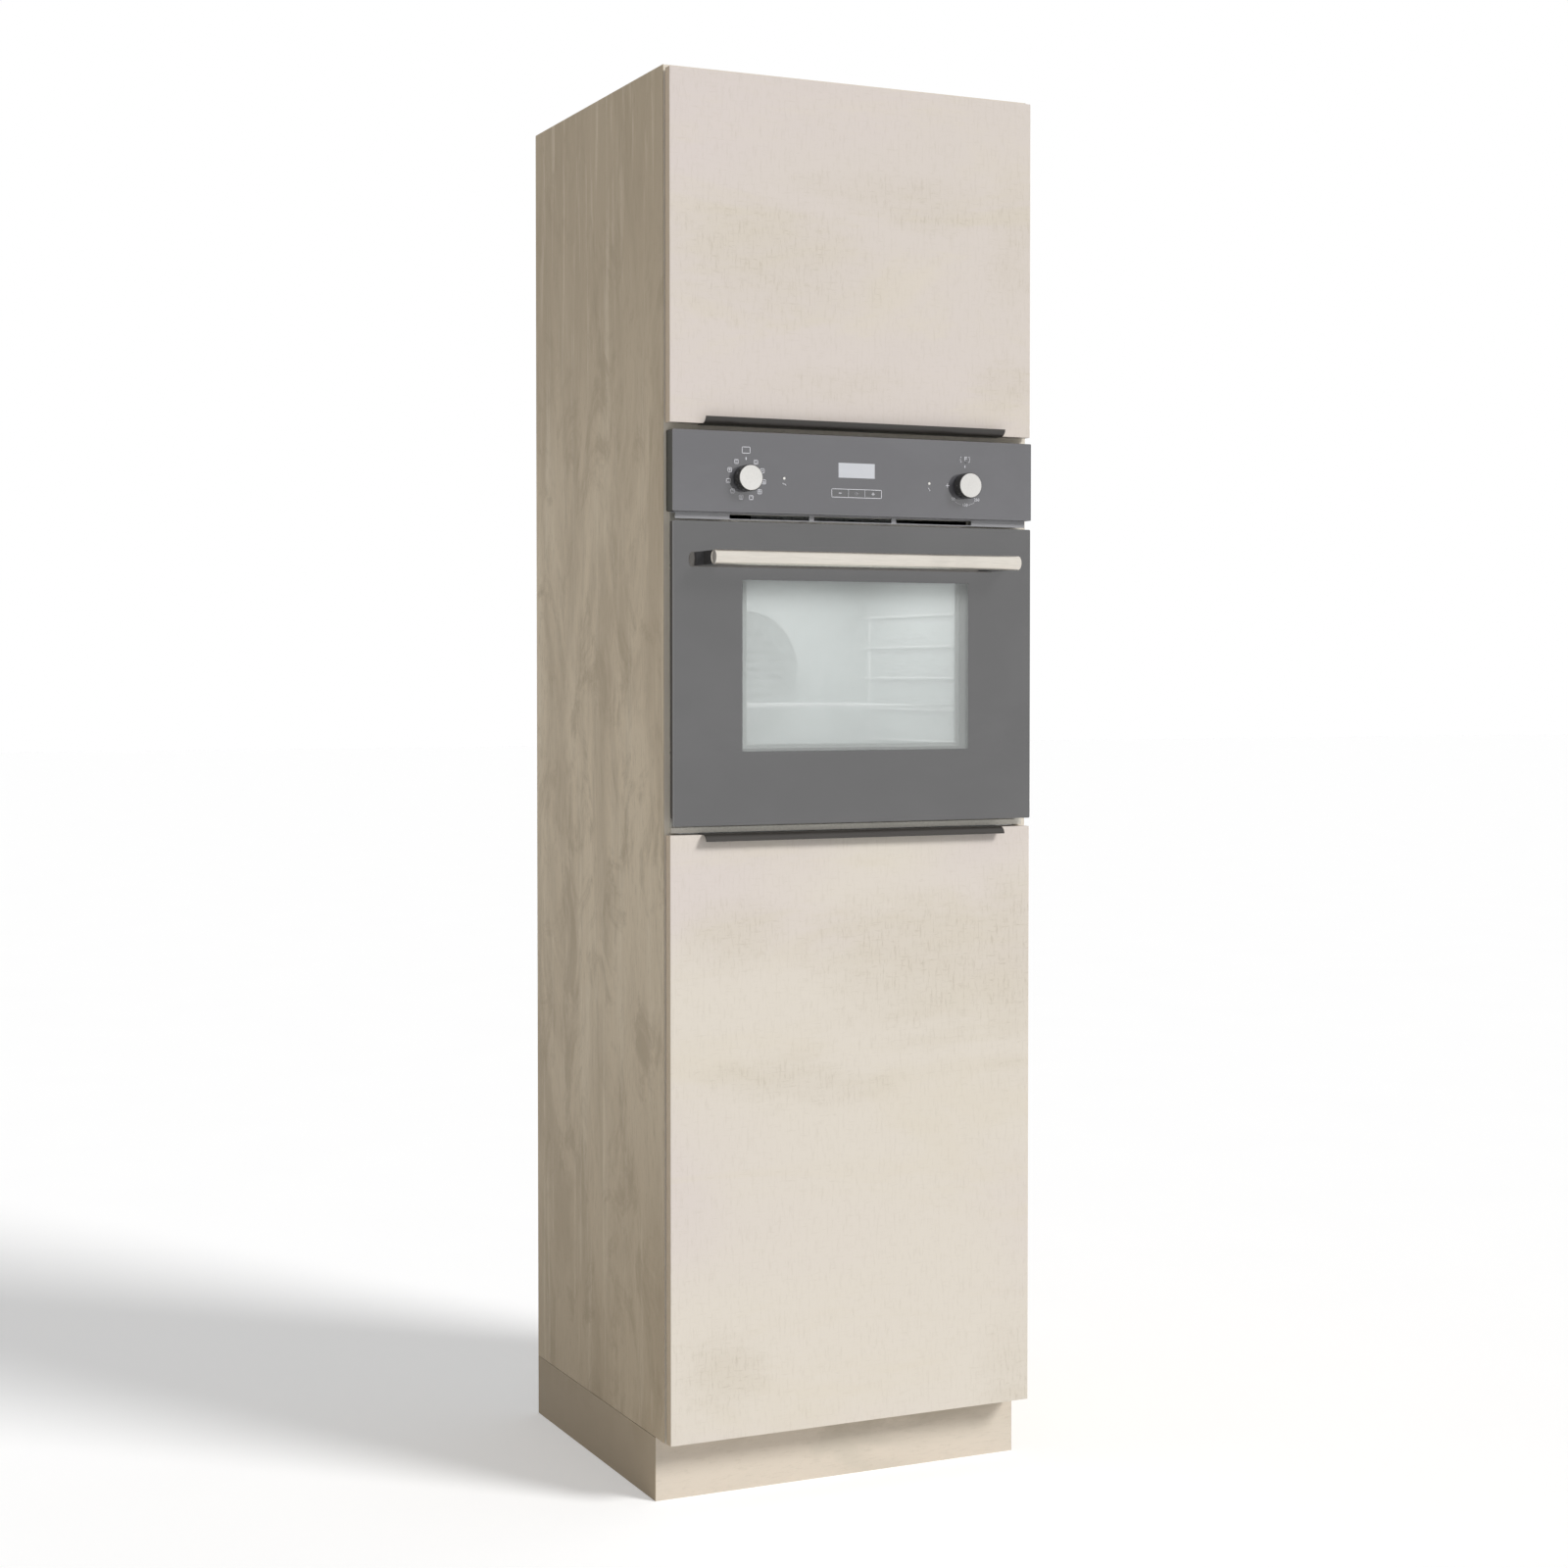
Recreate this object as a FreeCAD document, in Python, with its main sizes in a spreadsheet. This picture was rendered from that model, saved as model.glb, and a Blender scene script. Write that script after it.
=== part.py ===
"""Tall oven housing unit: a 600 mm wide, 2.09 m high kitchen cabinet with a built-in oven.

Own frame: +Z up, fronts face -Y, +X to the right, origin on the floor at the centre of the
overall box.  Millimetres.
"""

import FreeCAD, Part
import Sketcher
import os

DOC = FreeCAD.newDocument("tall_oven_housing_unit")
V = FreeCAD.Vector
TURN_TO_X = FreeCAD.Rotation(V(0, 1, 0), 90)
TURN_TO_Y = FreeCAD.Rotation(V(1, 0, 0), -90)

# ---------------------------------------------------------------- driving dimensions
DIMENSIONS = {
    # carcass
    "width": 600,
    "panel_t": 16,
    "plinth_height": 95,
    "carcass_height": 1993,
    "carcass_depth": 544,
    "niche_floor": 981.5,
    "niche_height": 585,
    "back_t": 3,
    "back_recess": 18,
    "groove_depth": 8,
    "groove_clear": 0.2,
    "shelf_play": 1.5,
    "shelf_setback": 22,
    "pin_radius": 2.5,
    "pin_reach": 9,
    "pin_depth": 10,
    "pin_inset": 50,
    "cam_radius": 7.5,
    "cam_depth": 12.5,
    "cam_inset": 34,
    "cam_edge": 60,
    # fronts
    "front_t": 16,
    "front_gap": 3,
    "front_reveal": 2,
    "door_top_reveal": 6,
    "upper_door_lift": 8.5,
    "lower_door_drop": 1,
    "edge_ease": 0.8,
    # edge pulls, bent from sheet
    "pull_side": 51,
    "pull_sheet": 1.5,
    "pull_reach": 14,
    "pull_drop": 11,
    "pull_leg": 25,
    # concealed hinges
    "cup_radius": 17.5,
    "cup_depth": 11.5,
    "cup_wall": 0.8,
    "cup_from_edge": 20.5,
    "wing_length": 62,
    "wing_width": 20,
    "wing_t": 1.2,
    "hinge_pin_radius": 1.25,
    "hinge_pin_from_edge": 6.8,
    "hinge_pin_deep": 8,
    "hinge_run": 0.05,
    "arm_eye": 2.1,
    "arm_width": 8,
    "arm_sheet": 2,
    "arm_stand": 4.5,
    "arm_length": 60,
    "plate_t": 3,
    "plate_length": 56,
    "plate_height": 34,
    "hinge_from_end": 95,
    # plinth and feet
    "plinth_setback": 54,
    "plinth_t": 16,
    "plinth_clear": 0.8,
    "foot_inset": 66,
    "foot_front": 108,
    "foot_rear": 85,
    "foot_pad_radius": 30,
    "foot_pad_t": 8,
    "foot_stem_radius": 12,
    "socket_radius": 17,
    "socket_length": 34,
    "socket_plate": 62,
    "socket_plate_t": 4,
    "clip_height": 14,
    "clip_plate": 40,
    "clip_t": 2.5,
    # wall brackets
    "bracket_spacing": 400,
    "bracket_leg": 30,
    "bracket_t": 2,
    "bracket_hole": 3.25,
    # oven front
    "oven_proud": 7,
    "oven_door_gap": 5,
    "oven_door_lift": 12,
    "panel_gap": 4,
    "panel_top_gap": 2,
    "panel_front_height": 117,
    "vent_band": 13.5,
    "vent_inset": 7,
    "fascia_wall": 2.5,
    "glass_t": 4,
    "window_side": 108,
    "window_below": 107,
    "window_above": 84,
    "door_edge_depth": 15,
    "door_frame_inset": 13,
    "door_view_margin": 12,
    # oven handle
    "handle_side": 45,
    "handle_radius": 11,
    "handle_stand": 30,
    "handle_below": 53.5,
    "standoff_length": 24,
    "standoff_height": 20,
    # knobs, keys and display
    "knob_spacing": 362,
    "knob_above": 49.5,
    "knob_radius": 19.2,
    "knob_depth": 18.2,
    "knob_gap": 0.6,
    "knob_ease": 0.9,
    "spindle_radius": 3,
    "spindle_run": 0.05,
    "knob_hole": 6,
    "switch_radius": 20,
    "switch_depth": 11,
    "display_width": 60,
    "display_height": 22,
    "display_above": 55.5,
    "middle_shift": -1.6,
    "key_width": 27.3,
    "key_height": 11.2,
    "key_above": 27.2,
    "key_clear": 0.3,
    "key_travel": 1,
    "lens_radius": 2,
    "lens_lift": 2,
    "lens_spacing": 240,
    # oven body
    "casing_clear": 6,
    "casing_top_gap": 13,
    "casing_rear_gap": 44,
    "casing_sheet": 1.5,
    "frame_lap": 7,
    "frame_foot": 1.5,
    "frame_sheet": 1.5,
    "cavity_wall": 54,
    "cavity_lift": 78.5,
    "cavity_drop": 166.5,
    "cavity_rear_gap": 90,
    "cavity_sheet": 2,
    "cavity_flange": 14,
    "insulation_t": 20,
    "seal_depth": 2.7,
    "seal_width": 7,
    "vent_gap": 3.2,
    "vent_lip": 1.3,
    "vent_slot": 128,
    "vent_slot_height": 6.8,
    "vent_slot_pitch": 136,
    "vent_shift": -3.7,
    "sill_depth": 5.5,
    "sill_t": 8,
    "pilot_radius": 1.85,
    "screw_out": 4,
    "screw_head": 3.6,
    "screw_head_t": 2,
    "screw_shank": 1.75,
    "screw_hole": 2.1,
    "screw_length": 28,
    "screw_low": 40,
    "screw_high": 30,
    # rack and guides
    "guide_wire": 2,
    "guide_levels": 5,
    "guide_pitch": 50,
    "guide_lift": 47.5,
    "rack_wire": 2.2,
    "rack_bar": 1.5,
    "rack_bars": 14,
    "rack_level": 1,
    "rack_gap": 0.3,
    # oven fan, grill, lamp
    "fan_cover_radius": 95,
    "fan_cover_stand": 26,
    "fan_radius": 70,
    "fan_lift": 162,
    "fan_blades": 8,
    "fan_hub": 7,
    "fan_blade": 14,
    "fan_sheet": 1.2,
    "fan_back": 3,
    "fan_shaft": 3,
    "motor_radius": 30,
    "motor_length": 40,
    "grill_radius": 3.5,
    "grill_inset": 80,
    "grill_inner": 55,
    "grill_drop": 22,
    "lamp_radius": 28,
    "lamp_t": 14,
    # cooling blower
    "blower_radius": 28,
    "blower_half": 120,
    "blower_back": 120,
    "blower_lift": 30,
    "blower_motor": 20,
    "blower_motor_length": 45,
    # oven door hinge
    "pivot_back": 9,
    "pivot_lift": 7.5,
    "pivot_radius": 2.5,
    "pivot_eye": 4.3,
    "pivot_sheet": 4,
    "pivot_side": 43,
    "pivot_play": 1,
    "pivot_neck": 4,
    "pivot_plate": 110,
    "pivot_plate_rise": 24,
    "lever_length": 74,
    "pivot_notch": 22,
}

DIMS = DOC.addObject("Spreadsheet::Sheet", "Dims")
for row, (alias, value) in enumerate(DIMENSIONS.items(), start=1):
    DIMS.set(f"A{row}", alias)
    DIMS.set(f"B{row}", str(value))
    DIMS.setAlias(f"B{row}", alias)
DOC.recompute()

# ---------------------------------------------------------------- planes worked out from them
PLANES = {
    "half": "Dims.width / 2",
    "inner": "half - Dims.panel_t",
    # along y: the overall box runs from the oven handle to the carcass's rear edges
    "reach": "Dims.oven_proud + Dims.handle_stand + 2 * Dims.handle_radius",
    "body_depth": "Dims.front_t + Dims.front_gap + Dims.carcass_depth",
    "y_front": "(reach - body_depth) / 2",
    "y_carcass": "y_front + Dims.front_t + Dims.front_gap",
    "y_rear": "y_carcass + Dims.carcass_depth",
    "y_back": "y_rear - Dims.back_recess - Dims.back_t",
    "y_door_back": "y_front + Dims.front_t",
    "y_plinth": "y_front + Dims.plinth_setback",
    "y_glass": "y_front - Dims.oven_proud",
    "y_chassis": "y_glass + Dims.glass_t",
    "y_frame": "y_carcass - Dims.frame_sheet",
    "y_seal": "y_frame - Dims.seal_depth",
    "y_inner_glass": "y_seal - 0.3",
    "y_casing_rear": "y_rear - Dims.casing_rear_gap",
    "y_cavity_rear": "y_casing_rear - Dims.cavity_rear_gap",
    # heights
    "z_base": "Dims.plinth_height",
    "z_top": "Dims.plinth_height + Dims.carcass_height",
    "z_floor": "z_base + Dims.panel_t",
    "z_ceiling": "z_top - Dims.panel_t",
    "z_niche": "Dims.niche_floor",
    "z_niche_top": "Dims.niche_floor + Dims.niche_height",
    "z_upper_floor": "z_niche_top + Dims.panel_t",
    "z_upper_door_top": "z_top - Dims.door_top_reveal",
    "z_upper_door": "z_niche_top + Dims.upper_door_lift",
    "z_lower_door": "z_base",
    "z_lower_door_top": "z_niche - Dims.lower_door_drop",
    # the oven fills the niche: panel under its top, door up to the vent strip, window in the door
    "z_panel_top": "z_niche_top - Dims.panel_top_gap",
    "z_panel": "z_panel_top - Dims.panel_front_height",
    "z_oven_door": "z_niche + Dims.oven_door_lift",
    "z_oven_door_top": "z_panel - Dims.vent_band",
    "z_window": "z_oven_door + Dims.window_below",
    "z_window_top": "z_oven_door_top - Dims.window_above",
    "z_handle": "z_oven_door_top - Dims.handle_below",
    "z_vent": "z_oven_door_top + Dims.vent_gap",
    "z_slot": "z_vent + Dims.vent_lip",
    "z_slot_top": "z_slot + Dims.vent_slot_height",
    "z_knob": "z_panel + Dims.knob_above",
    "z_display": "z_panel + Dims.display_above",
    "z_display_top": "z_display + Dims.display_height",
    "z_key": "z_panel + Dims.key_above",
    "z_key_top": "z_key + Dims.key_height",
    "z_casing_top": "z_niche_top - Dims.casing_top_gap",
    "z_cavity": "z_niche + Dims.cavity_lift",
    "z_cavity_top": "z_niche_top - Dims.cavity_drop",
    "z_guide": "z_cavity + Dims.guide_lift",
    "z_fan": "z_cavity + Dims.fan_lift",
    # half widths of what stands across the unit
    "door_across": "half - Dims.oven_door_gap",
    "panel_across": "half - Dims.panel_gap",
    "frame_across": "inner + Dims.frame_lap",
    "casing_across": "inner - Dims.casing_clear",
    "cavity_across": "inner - Dims.cavity_wall",
    "window_across": "door_across - Dims.window_side",
    "handle_across": "door_across - Dims.handle_side",
    "pivot_across": "door_across - Dims.pivot_side",
    # both doors hang on the left side
    "door_half": "half - Dims.front_reveal",
    "pull_across": "door_half - Dims.pull_side",
    "cup_x": "Dims.cup_from_edge - door_half",
    "pin_x": "Dims.hinge_pin_from_edge - door_half",
    "pin_y": "y_door_back - Dims.hinge_pin_deep",
    "arm_x": "Dims.arm_stand - inner",
    # oven door pivot
    "pivot_y": "y_glass + Dims.pivot_back",
    "pivot_z": "z_oven_door + Dims.pivot_lift",
}

LAY = DOC.addObject("Spreadsheet::Sheet", "Lay")
for row, (alias, formula) in enumerate(PLANES.items(), start=1):
    LAY.set(f"A{row}", alias)
    LAY.set(f"B{row}", "=" + formula)
    LAY.setAlias(f"B{row}", alias)
    DOC.recompute()


def num(expression):
    """The value of an expression now."""
    value = DIMS.evalExpression(str(expression))
    return float(getattr(value, "Value", value))


# ---------------------------------------------------------------- small building tools
COUNT = {}
# sides of the prisms that stand for round pieces
DISC_SIDES = 12
CUP_SIDES = 16


def unique(stem):
    """A fresh internal name."""
    COUNT[stem] = COUNT.get(stem, 0) + 1
    return f"{stem}_{COUNT[stem]:03d}"


def bind(obj, prop, expression):
    """Ties one property to the sheets."""
    obj.setExpression(prop, str(expression))


def put(obj, x, y, z, rotation=None):
    """Places an object at a point given by three expressions."""
    if rotation is not None:
        obj.Placement = FreeCAD.Placement(V(0, 0, 0), rotation)
    bind(obj, "Placement.Base.x", x)
    bind(obj, "Placement.Base.y", y)
    bind(obj, "Placement.Base.z", z)
    return obj


def slab(x, y, z, name=None):
    """A block between three pairs of planes."""
    box = DOC.addObject("Part::Box", name or unique("slab"))
    bind(box, "Length", f"({x[1]}) - ({x[0]})")
    bind(box, "Width", f"({y[1]}) - ({y[0]})")
    bind(box, "Height", f"({z[1]}) - ({z[0]})")
    return put(box, x[0], y[0], z[0])


def rod(axis, x, y, z, radius, length, name=None):
    """A cylinder from a point along +x, +y or +z."""
    turn = {"x": TURN_TO_X, "y": TURN_TO_Y, "z": FreeCAD.Rotation()}[axis]
    cylinder = DOC.addObject("Part::Cylinder", name or unique("rod"))
    bind(cylinder, "Radius", radius)
    bind(cylinder, "Height", length)
    return put(cylinder, x, y, z, turn)


def bar(axis, x, y, z, radius, length, sides=8):
    """A prism from a point along +x, +y or +z: a round bar with few faces, where it repeats."""
    turn = {"x": TURN_TO_X, "y": TURN_TO_Y, "z": FreeCAD.Rotation()}[axis]
    prism = DOC.addObject("Part::Prism", unique("bar"))
    prism.Polygon = sides
    bind(prism, "Circumradius", radius)
    bind(prism, "Height", length)
    return put(prism, x, y, z, turn)


def fuse(shapes, name=None):
    """One solid from several."""
    if len(shapes) == 1:
        return shapes[0]
    union = DOC.addObject("Part::MultiFuse", name or unique("union"))
    union.Shapes = shapes
    union.Refine = True
    return union


def cut(base, tools, name=None):
    """A solid less some others."""
    result = DOC.addObject("Part::Cut", name or unique("cut"))
    result.Base = base
    result.Tool = fuse(tools)
    return result


def group(shapes, name):
    """Several identical pieces kept as one node."""
    bundle = DOC.addObject("Part::Compound", name)
    bundle.Links = shapes
    return bundle


NODES = []


def node(obj, name):
    """Names a finished sub-part."""
    obj.Label = name
    NODES.append(obj)
    return obj


def new_body(name):
    """A part-design body."""
    return DOC.addObject("PartDesign::Body", unique(name))


def sketch(body, role, offset, shapes):
    """A constrained sketch parallel to an origin plane; shapes are functions that draw in it."""
    plane = [f for f in body.Origin.OriginFeatures if f.Role == role][0]
    sk = body.newObject("Sketcher::SketchObject", unique("sketch"))
    sk.AttachmentSupport = [(plane, "")]
    sk.MapMode = "FlatFace"
    bind(sk, "AttachmentOffset.Base.z", offset)
    for draw in shapes:
        draw(sk)
    return sk


def hold(sk, points):
    """Holds ends of lines, or centres, each at two expressions."""
    pairs = [
        (Sketcher.Constraint(kind, -1, 1, geometry, end, num(value)), value)
        for geometry, end, x, y in points
        for kind, value in (("DistanceX", x), ("DistanceY", y))
    ]
    indices = sk.addConstraint([constraint for constraint, _ in pairs])
    for index, (_, value) in zip(indices, pairs):
        bind(sk, f"Constraints[{index}]", value)


def outline(points):
    """A closed run of straight lines through points given by expressions."""
    def draw(sk):
        spots = [V(num(x), num(y), 0) for x, y in points]
        lines = [
            sk.addGeometry(Part.LineSegment(a, b), False)
            for a, b in zip(spots, spots[1:] + spots[:1])
        ]
        ends = zip(lines, lines[1:] + lines[:1])
        sk.addConstraint([Sketcher.Constraint("Coincident", here, 2, after, 1) for here, after in ends])
        hold(sk, [(line, 1, x, y) for line, (x, y) in zip(lines, points)])
    return draw


def rectangle(a, b):
    """A rectangle between two pairs of expressions."""
    return outline([(a[0], b[0]), (a[1], b[0]), (a[1], b[1]), (a[0], b[1])])


def ring(x, y, radius):
    """A circle."""
    def draw(sk):
        circle = sk.addGeometry(Part.Circle(V(num(x), num(y), 0), V(0, 0, 1), num(radius)), False)
        hold(sk, [(circle, 3, x, y)])
        index = sk.addConstraint(Sketcher.Constraint("Radius", circle, num(radius)))
        bind(sk, f"Constraints[{index}]", radius)
    return draw


def facets(x, y, radius, sides=8):
    """A regular polygon with a corner on the sketch's own x, to match a bar."""
    turns = [360 / sides * step for step in range(sides)]
    return outline([(f"{x} + {radius} * cos({turn})", f"{y} + {radius} * sin({turn})") for turn in turns])


def pad(body, profile, length, flip=False):
    """Adds material along the sketch's normal."""
    feature = body.newObject("PartDesign::Pad", unique("pad"))
    feature.Profile = profile
    bind(feature, "Length", length)
    feature.Reversed = flip
    return feature


def pocket(body, profile, depth, flip=False):
    """Takes material away against the sketch's normal."""
    feature = body.newObject("PartDesign::Pocket", unique("pocket"))
    feature.Profile = profile
    bind(feature, "Length", depth)
    feature.Reversed = flip
    return feature


def spin(body, profile):
    """Turns a profile in the XZ plane about the body's own Z axis."""
    feature = body.newObject("PartDesign::Revolution", unique("turned"))
    feature.Profile = profile
    feature.ReferenceAxis = (profile, ["V_Axis"])
    feature.Angle = 360
    return feature


def soften(body, feature, radius, wanted, kind="PartDesign::Fillet"):
    """Rounds or chamfers the edges of the last feature that a test picks out."""
    DOC.recompute()
    names = [f"Edge{i}" for i, e in enumerate(feature.Shape.Edges, 1) if wanted(e)]
    dressed = body.newObject(kind, unique("edge"))
    dressed.Base = (feature, names)
    bind(dressed, "Radius" if kind.endswith("Fillet") else "Size", radius)
    return dressed


def middle(edge):
    """The midpoint of an edge."""
    return edge.valueAt((edge.FirstParameter + edge.LastParameter) / 2)


def along(edge, axis):
    """Whether a straight edge runs along one axis."""
    if len(edge.Vertexes) != 2:
        return False
    step = edge.Vertexes[1].Point - edge.Vertexes[0].Point
    return step.Length > 1e-6 and abs(abs(step.dot(axis)) - step.Length) < 1e-6


X, Y, Z = V(1, 0, 0), V(0, 1, 0), V(0, 0, 1)
SIDES = (("left", -1), ("right", 1))


# ---------------------------------------------------------------- carcass
LEVELS = {
    # adjustable shelves: share of the bay's clear height under each
    "lower": ("Lay.z_floor", "Lay.z_niche - Dims.panel_t", (1 / 3, 2 / 3)),
    "upper": ("Lay.z_upper_floor", "Lay.z_ceiling", (1 / 2,)),
}


def shelf_heights(bay):
    """Undersides of a bay's adjustable shelves."""
    low, high, shares = LEVELS[bay]
    return [f"({low}) + ({high} - ({low})) * {share}" for share in shares]


def pin_rows():
    """Front and rear rows of shelf-pin holes."""
    front = "Lay.y_carcass + Dims.shelf_setback + Dims.pin_inset"
    rear = "Lay.y_back - Dims.pin_inset"
    return front, rear


def side_panel(name, hand):
    """A side: full-height board with the back panels' groove and blind shelf-pin holes."""
    body = new_body("side")
    outer = "-Lay.half" if hand < 0 else "Lay.inner"
    face = "-Lay.inner" if hand < 0 else "Lay.inner"
    board = sketch(
        body, "YZ_Plane", outer, [rectangle(("Lay.y_carcass", "Lay.y_rear"), ("Lay.z_base", "Lay.z_top"))]
    )
    pad(body, board, "Dims.panel_t")
    groove = sketch(
        body,
        "YZ_Plane",
        face,
        [
            rectangle(
                ("Lay.y_back - Dims.groove_clear", "Lay.y_back + Dims.back_t + Dims.groove_clear"),
                ("Lay.z_base", "Lay.z_top"),
            )
        ],
    )
    pocket(body, groove, "Dims.groove_depth", flip=hand > 0)
    holes = [
        facets(row, f"{height} - Dims.pin_radius", "Dims.pin_radius")
        for bay in LEVELS
        for height in shelf_heights(bay)
        for row in pin_rows()
    ]
    drilled = sketch(body, "YZ_Plane", face, holes)
    pocket(body, drilled, "Dims.pin_depth", flip=hand > 0)
    screws = sketch(
        body,
        "XZ_Plane",
        "-Lay.y_carcass",
        [facets(screw_x(hand), height, "Dims.pilot_radius") for height in SCREW_HEIGHTS],
    )
    pocket(body, screws, "Dims.screw_length + 4")
    return node(body, name)


SCREW_HEIGHTS = ("Lay.z_cavity + Dims.screw_low", "Lay.z_cavity_top - Dims.screw_high")


def screw_x(hand):
    """Across position of the oven's fixing screws, in the side panel's front edge."""
    return f"{hand} * (Lay.inner + Dims.screw_out)"


def cam_spots():
    """Across and deep positions of the cam fittings in a fixed board."""
    for _, hand in SIDES:
        across = f"{hand} * (Lay.inner - Dims.cam_inset)"
        yield across, "Lay.y_carcass + Dims.cam_edge"
        yield across, "Lay.y_back - Dims.cam_edge"


def fixed_board(name, floor):
    """A board between the sides, with round pockets for cam fittings in its underside."""
    body = new_body("board")
    plan = sketch(
        body,
        "XY_Plane",
        floor,
        [rectangle(("-Lay.inner", "Lay.inner"), ("Lay.y_carcass", "Lay.y_back"))],
    )
    pad(body, plan, "Dims.panel_t")
    spots = sketch(body, "XY_Plane", floor, [facets(x, y, "Dims.cam_radius") for x, y in cam_spots()])
    pocket(body, spots, "Dims.cam_depth", flip=True)
    return node(body, name)


BOARDS = {
    "bottom_panel": "Lay.z_base",
    "oven_shelf": "Lay.z_niche - Dims.panel_t",
    "upper_fixed_shelf": "Lay.z_niche_top",
    "top_panel": "Lay.z_ceiling",
}


def cam_fittings():
    """Cams that clamp the fixed boards to the sides."""
    cams = []
    for floor in BOARDS.values():
        for x, y in cam_spots():
            cams.append(bar("z", x, y, floor, "Dims.cam_radius - 0.1", "Dims.cam_depth"))
    return node(group(cams, "cams"), "cam_fittings")


def back_panel(name, low, high):
    """A thin hardboard back that slides in the sides' grooves, with holes behind the wall brackets."""
    grip = "(Lay.inner + Dims.groove_depth - Dims.groove_clear)"
    board = slab((f"-{grip}", grip), ("Lay.y_back", "Lay.y_back + Dims.back_t"), (low, high))
    if name == "upper_back_panel":
        board = cut(
            board,
            [
                rod("y", x, "Lay.y_back - 1", bracket_hole_z(), "Dims.bracket_hole", "Dims.back_t + 2")
                for x in bracket_xs()
            ],
        )
    return node(board, name)


def adjustable_shelf(height):
    """A loose shelf on four pins."""
    return slab(
        ("-Lay.inner + Dims.shelf_play", "Lay.inner - Dims.shelf_play"),
        ("Lay.y_carcass + Dims.shelf_setback", "Lay.y_back - Dims.shelf_play"),
        (height, f"{height} + Dims.panel_t"),
    )


def shelf_pins():
    """Steel pins in the sides, just under each adjustable shelf."""
    pins = []
    for bay in LEVELS:
        for height in shelf_heights(bay):
            for row in pin_rows():
                centre = f"{height} - Dims.pin_radius"
                length = "Dims.pin_depth + Dims.pin_reach"
                start = "-Lay.inner - Dims.pin_depth"
                pins.append(bar("x", start, row, centre, "Dims.pin_radius - 0.05", length))
                start = "Lay.inner - Dims.pin_reach"
                pins.append(bar("x", start, row, centre, "Dims.pin_radius - 0.05", length))
    return node(group(pins, "pins"), "shelf_pins")


# ---------------------------------------------------------------- plinth and feet
def foot_spots():
    """Centres of the four feet."""
    for _, hand in SIDES:
        x = f"{hand} * (Lay.half - Dims.foot_inset)"
        yield hand, x, "Lay.y_front + Dims.foot_front + Dims.plinth_t", True
        yield hand, x, "Lay.y_rear - Dims.foot_rear", False


def foot_sockets():
    """Flanged sockets screwed under the bottom panel."""
    sockets = []
    low = "Lay.z_base - Dims.socket_length"
    for _, x, y, _ in foot_spots():
        half = "Dims.socket_plate / 2"
        flange = slab(
            (f"{x} - {half}", f"{x} + {half}"),
            (f"{y} - {half}", f"{y} + {half}"),
            ("Lay.z_base - Dims.socket_plate_t", "Lay.z_base"),
        )
        barrel = bar("z", x, y, low, "Dims.socket_radius", "Dims.socket_length", DISC_SIDES)
        depth = "Dims.socket_length - Dims.socket_plate_t + 1"
        bore = bar("z", x, y, f"{low} - 1", "Dims.foot_stem_radius + 0.3", depth, DISC_SIDES)
        sockets.append(cut(fuse([flange, barrel]), [bore]))
    return node(group(sockets, "sockets"), "foot_sockets")


def foot_bases():
    """Turned feet: a wide pad and a stem that screws into the socket."""
    feet = []
    for _, x, y, _ in foot_spots():
        pad_disc = bar("z", x, y, 0, "Dims.foot_pad_radius", "Dims.foot_pad_t", CUP_SIDES)
        stem = bar("z", x, y, 0, "Dims.foot_stem_radius", "Lay.z_base - Dims.socket_plate_t", DISC_SIDES)
        feet.append(fuse([pad_disc, stem]))
    return node(group(feet, "feet"), "foot_bases")


def plinth():
    """Front board, and two returns flush with the sides."""
    high = "Lay.z_base - Dims.plinth_clear"
    behind = "Lay.y_plinth + Dims.plinth_t"
    front = slab(("-Lay.half", "Lay.half"), ("Lay.y_plinth", behind), (0, high))
    node(front, "plinth_front")
    spans = (
        ("left", "-Lay.half", "-Lay.half + Dims.plinth_t"),
        ("right", "Lay.half - Dims.plinth_t", "Lay.half"),
    )
    for side, a, b in spans:
        node(slab((a, b), (behind, "Lay.y_rear"), (0, high)), f"plinth_{side}")


def plinth_clips():
    """Spring clips that hold the plinth boards to the feet."""
    clips = []
    low = "Lay.z_base - Dims.socket_length + 4"
    high = f"{low} + Dims.clip_height"
    grip = "Dims.socket_radius + 0.3"
    for hand, x, y, front in foot_spots():
        collar = bar("z", x, y, low, f"{grip} + Dims.clip_t", "Dims.clip_height", DISC_SIDES)
        bore = bar("z", x, y, f"{low} - 1", grip, "Dims.clip_height + 2", DISC_SIDES)
        reach = "4"
        if front:
            wall = "Lay.y_plinth + Dims.plinth_t"
            arm = slab((f"{x} - {reach}", f"{x} + {reach}"), (wall, y), (low, high))
            foot = slab(
                (f"{x} - Dims.clip_plate / 2", f"{x} + Dims.clip_plate / 2"),
                (wall, f"{wall} + Dims.clip_t"),
                (low, high),
            )
        else:
            wall = f"{hand} * (Lay.half - Dims.plinth_t)"
            span = (wall, x) if hand < 0 else (x, wall)
            skin = (wall, f"{wall} + Dims.clip_t") if hand < 0 else (f"{wall} - Dims.clip_t", wall)
            arm = slab(span, (f"{y} - {reach}", f"{y} + {reach}"), (low, high))
            foot = slab(skin, (f"{y} - Dims.clip_plate / 2", f"{y} + Dims.clip_plate / 2"), (low, high))
        clips.append(cut(fuse([collar, arm, foot]), [bore]))
    return node(group(clips, "clips"), "plinth_clips")


# ---------------------------------------------------------------- wall brackets
def bracket_xs():
    """Across positions of the two wall brackets."""
    return ("-Dims.bracket_spacing / 2", "Dims.bracket_spacing / 2")


def bracket_hole_z():
    """Height of the wall screws."""
    return "Lay.z_ceiling - Dims.bracket_leg * 0.6"


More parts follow.
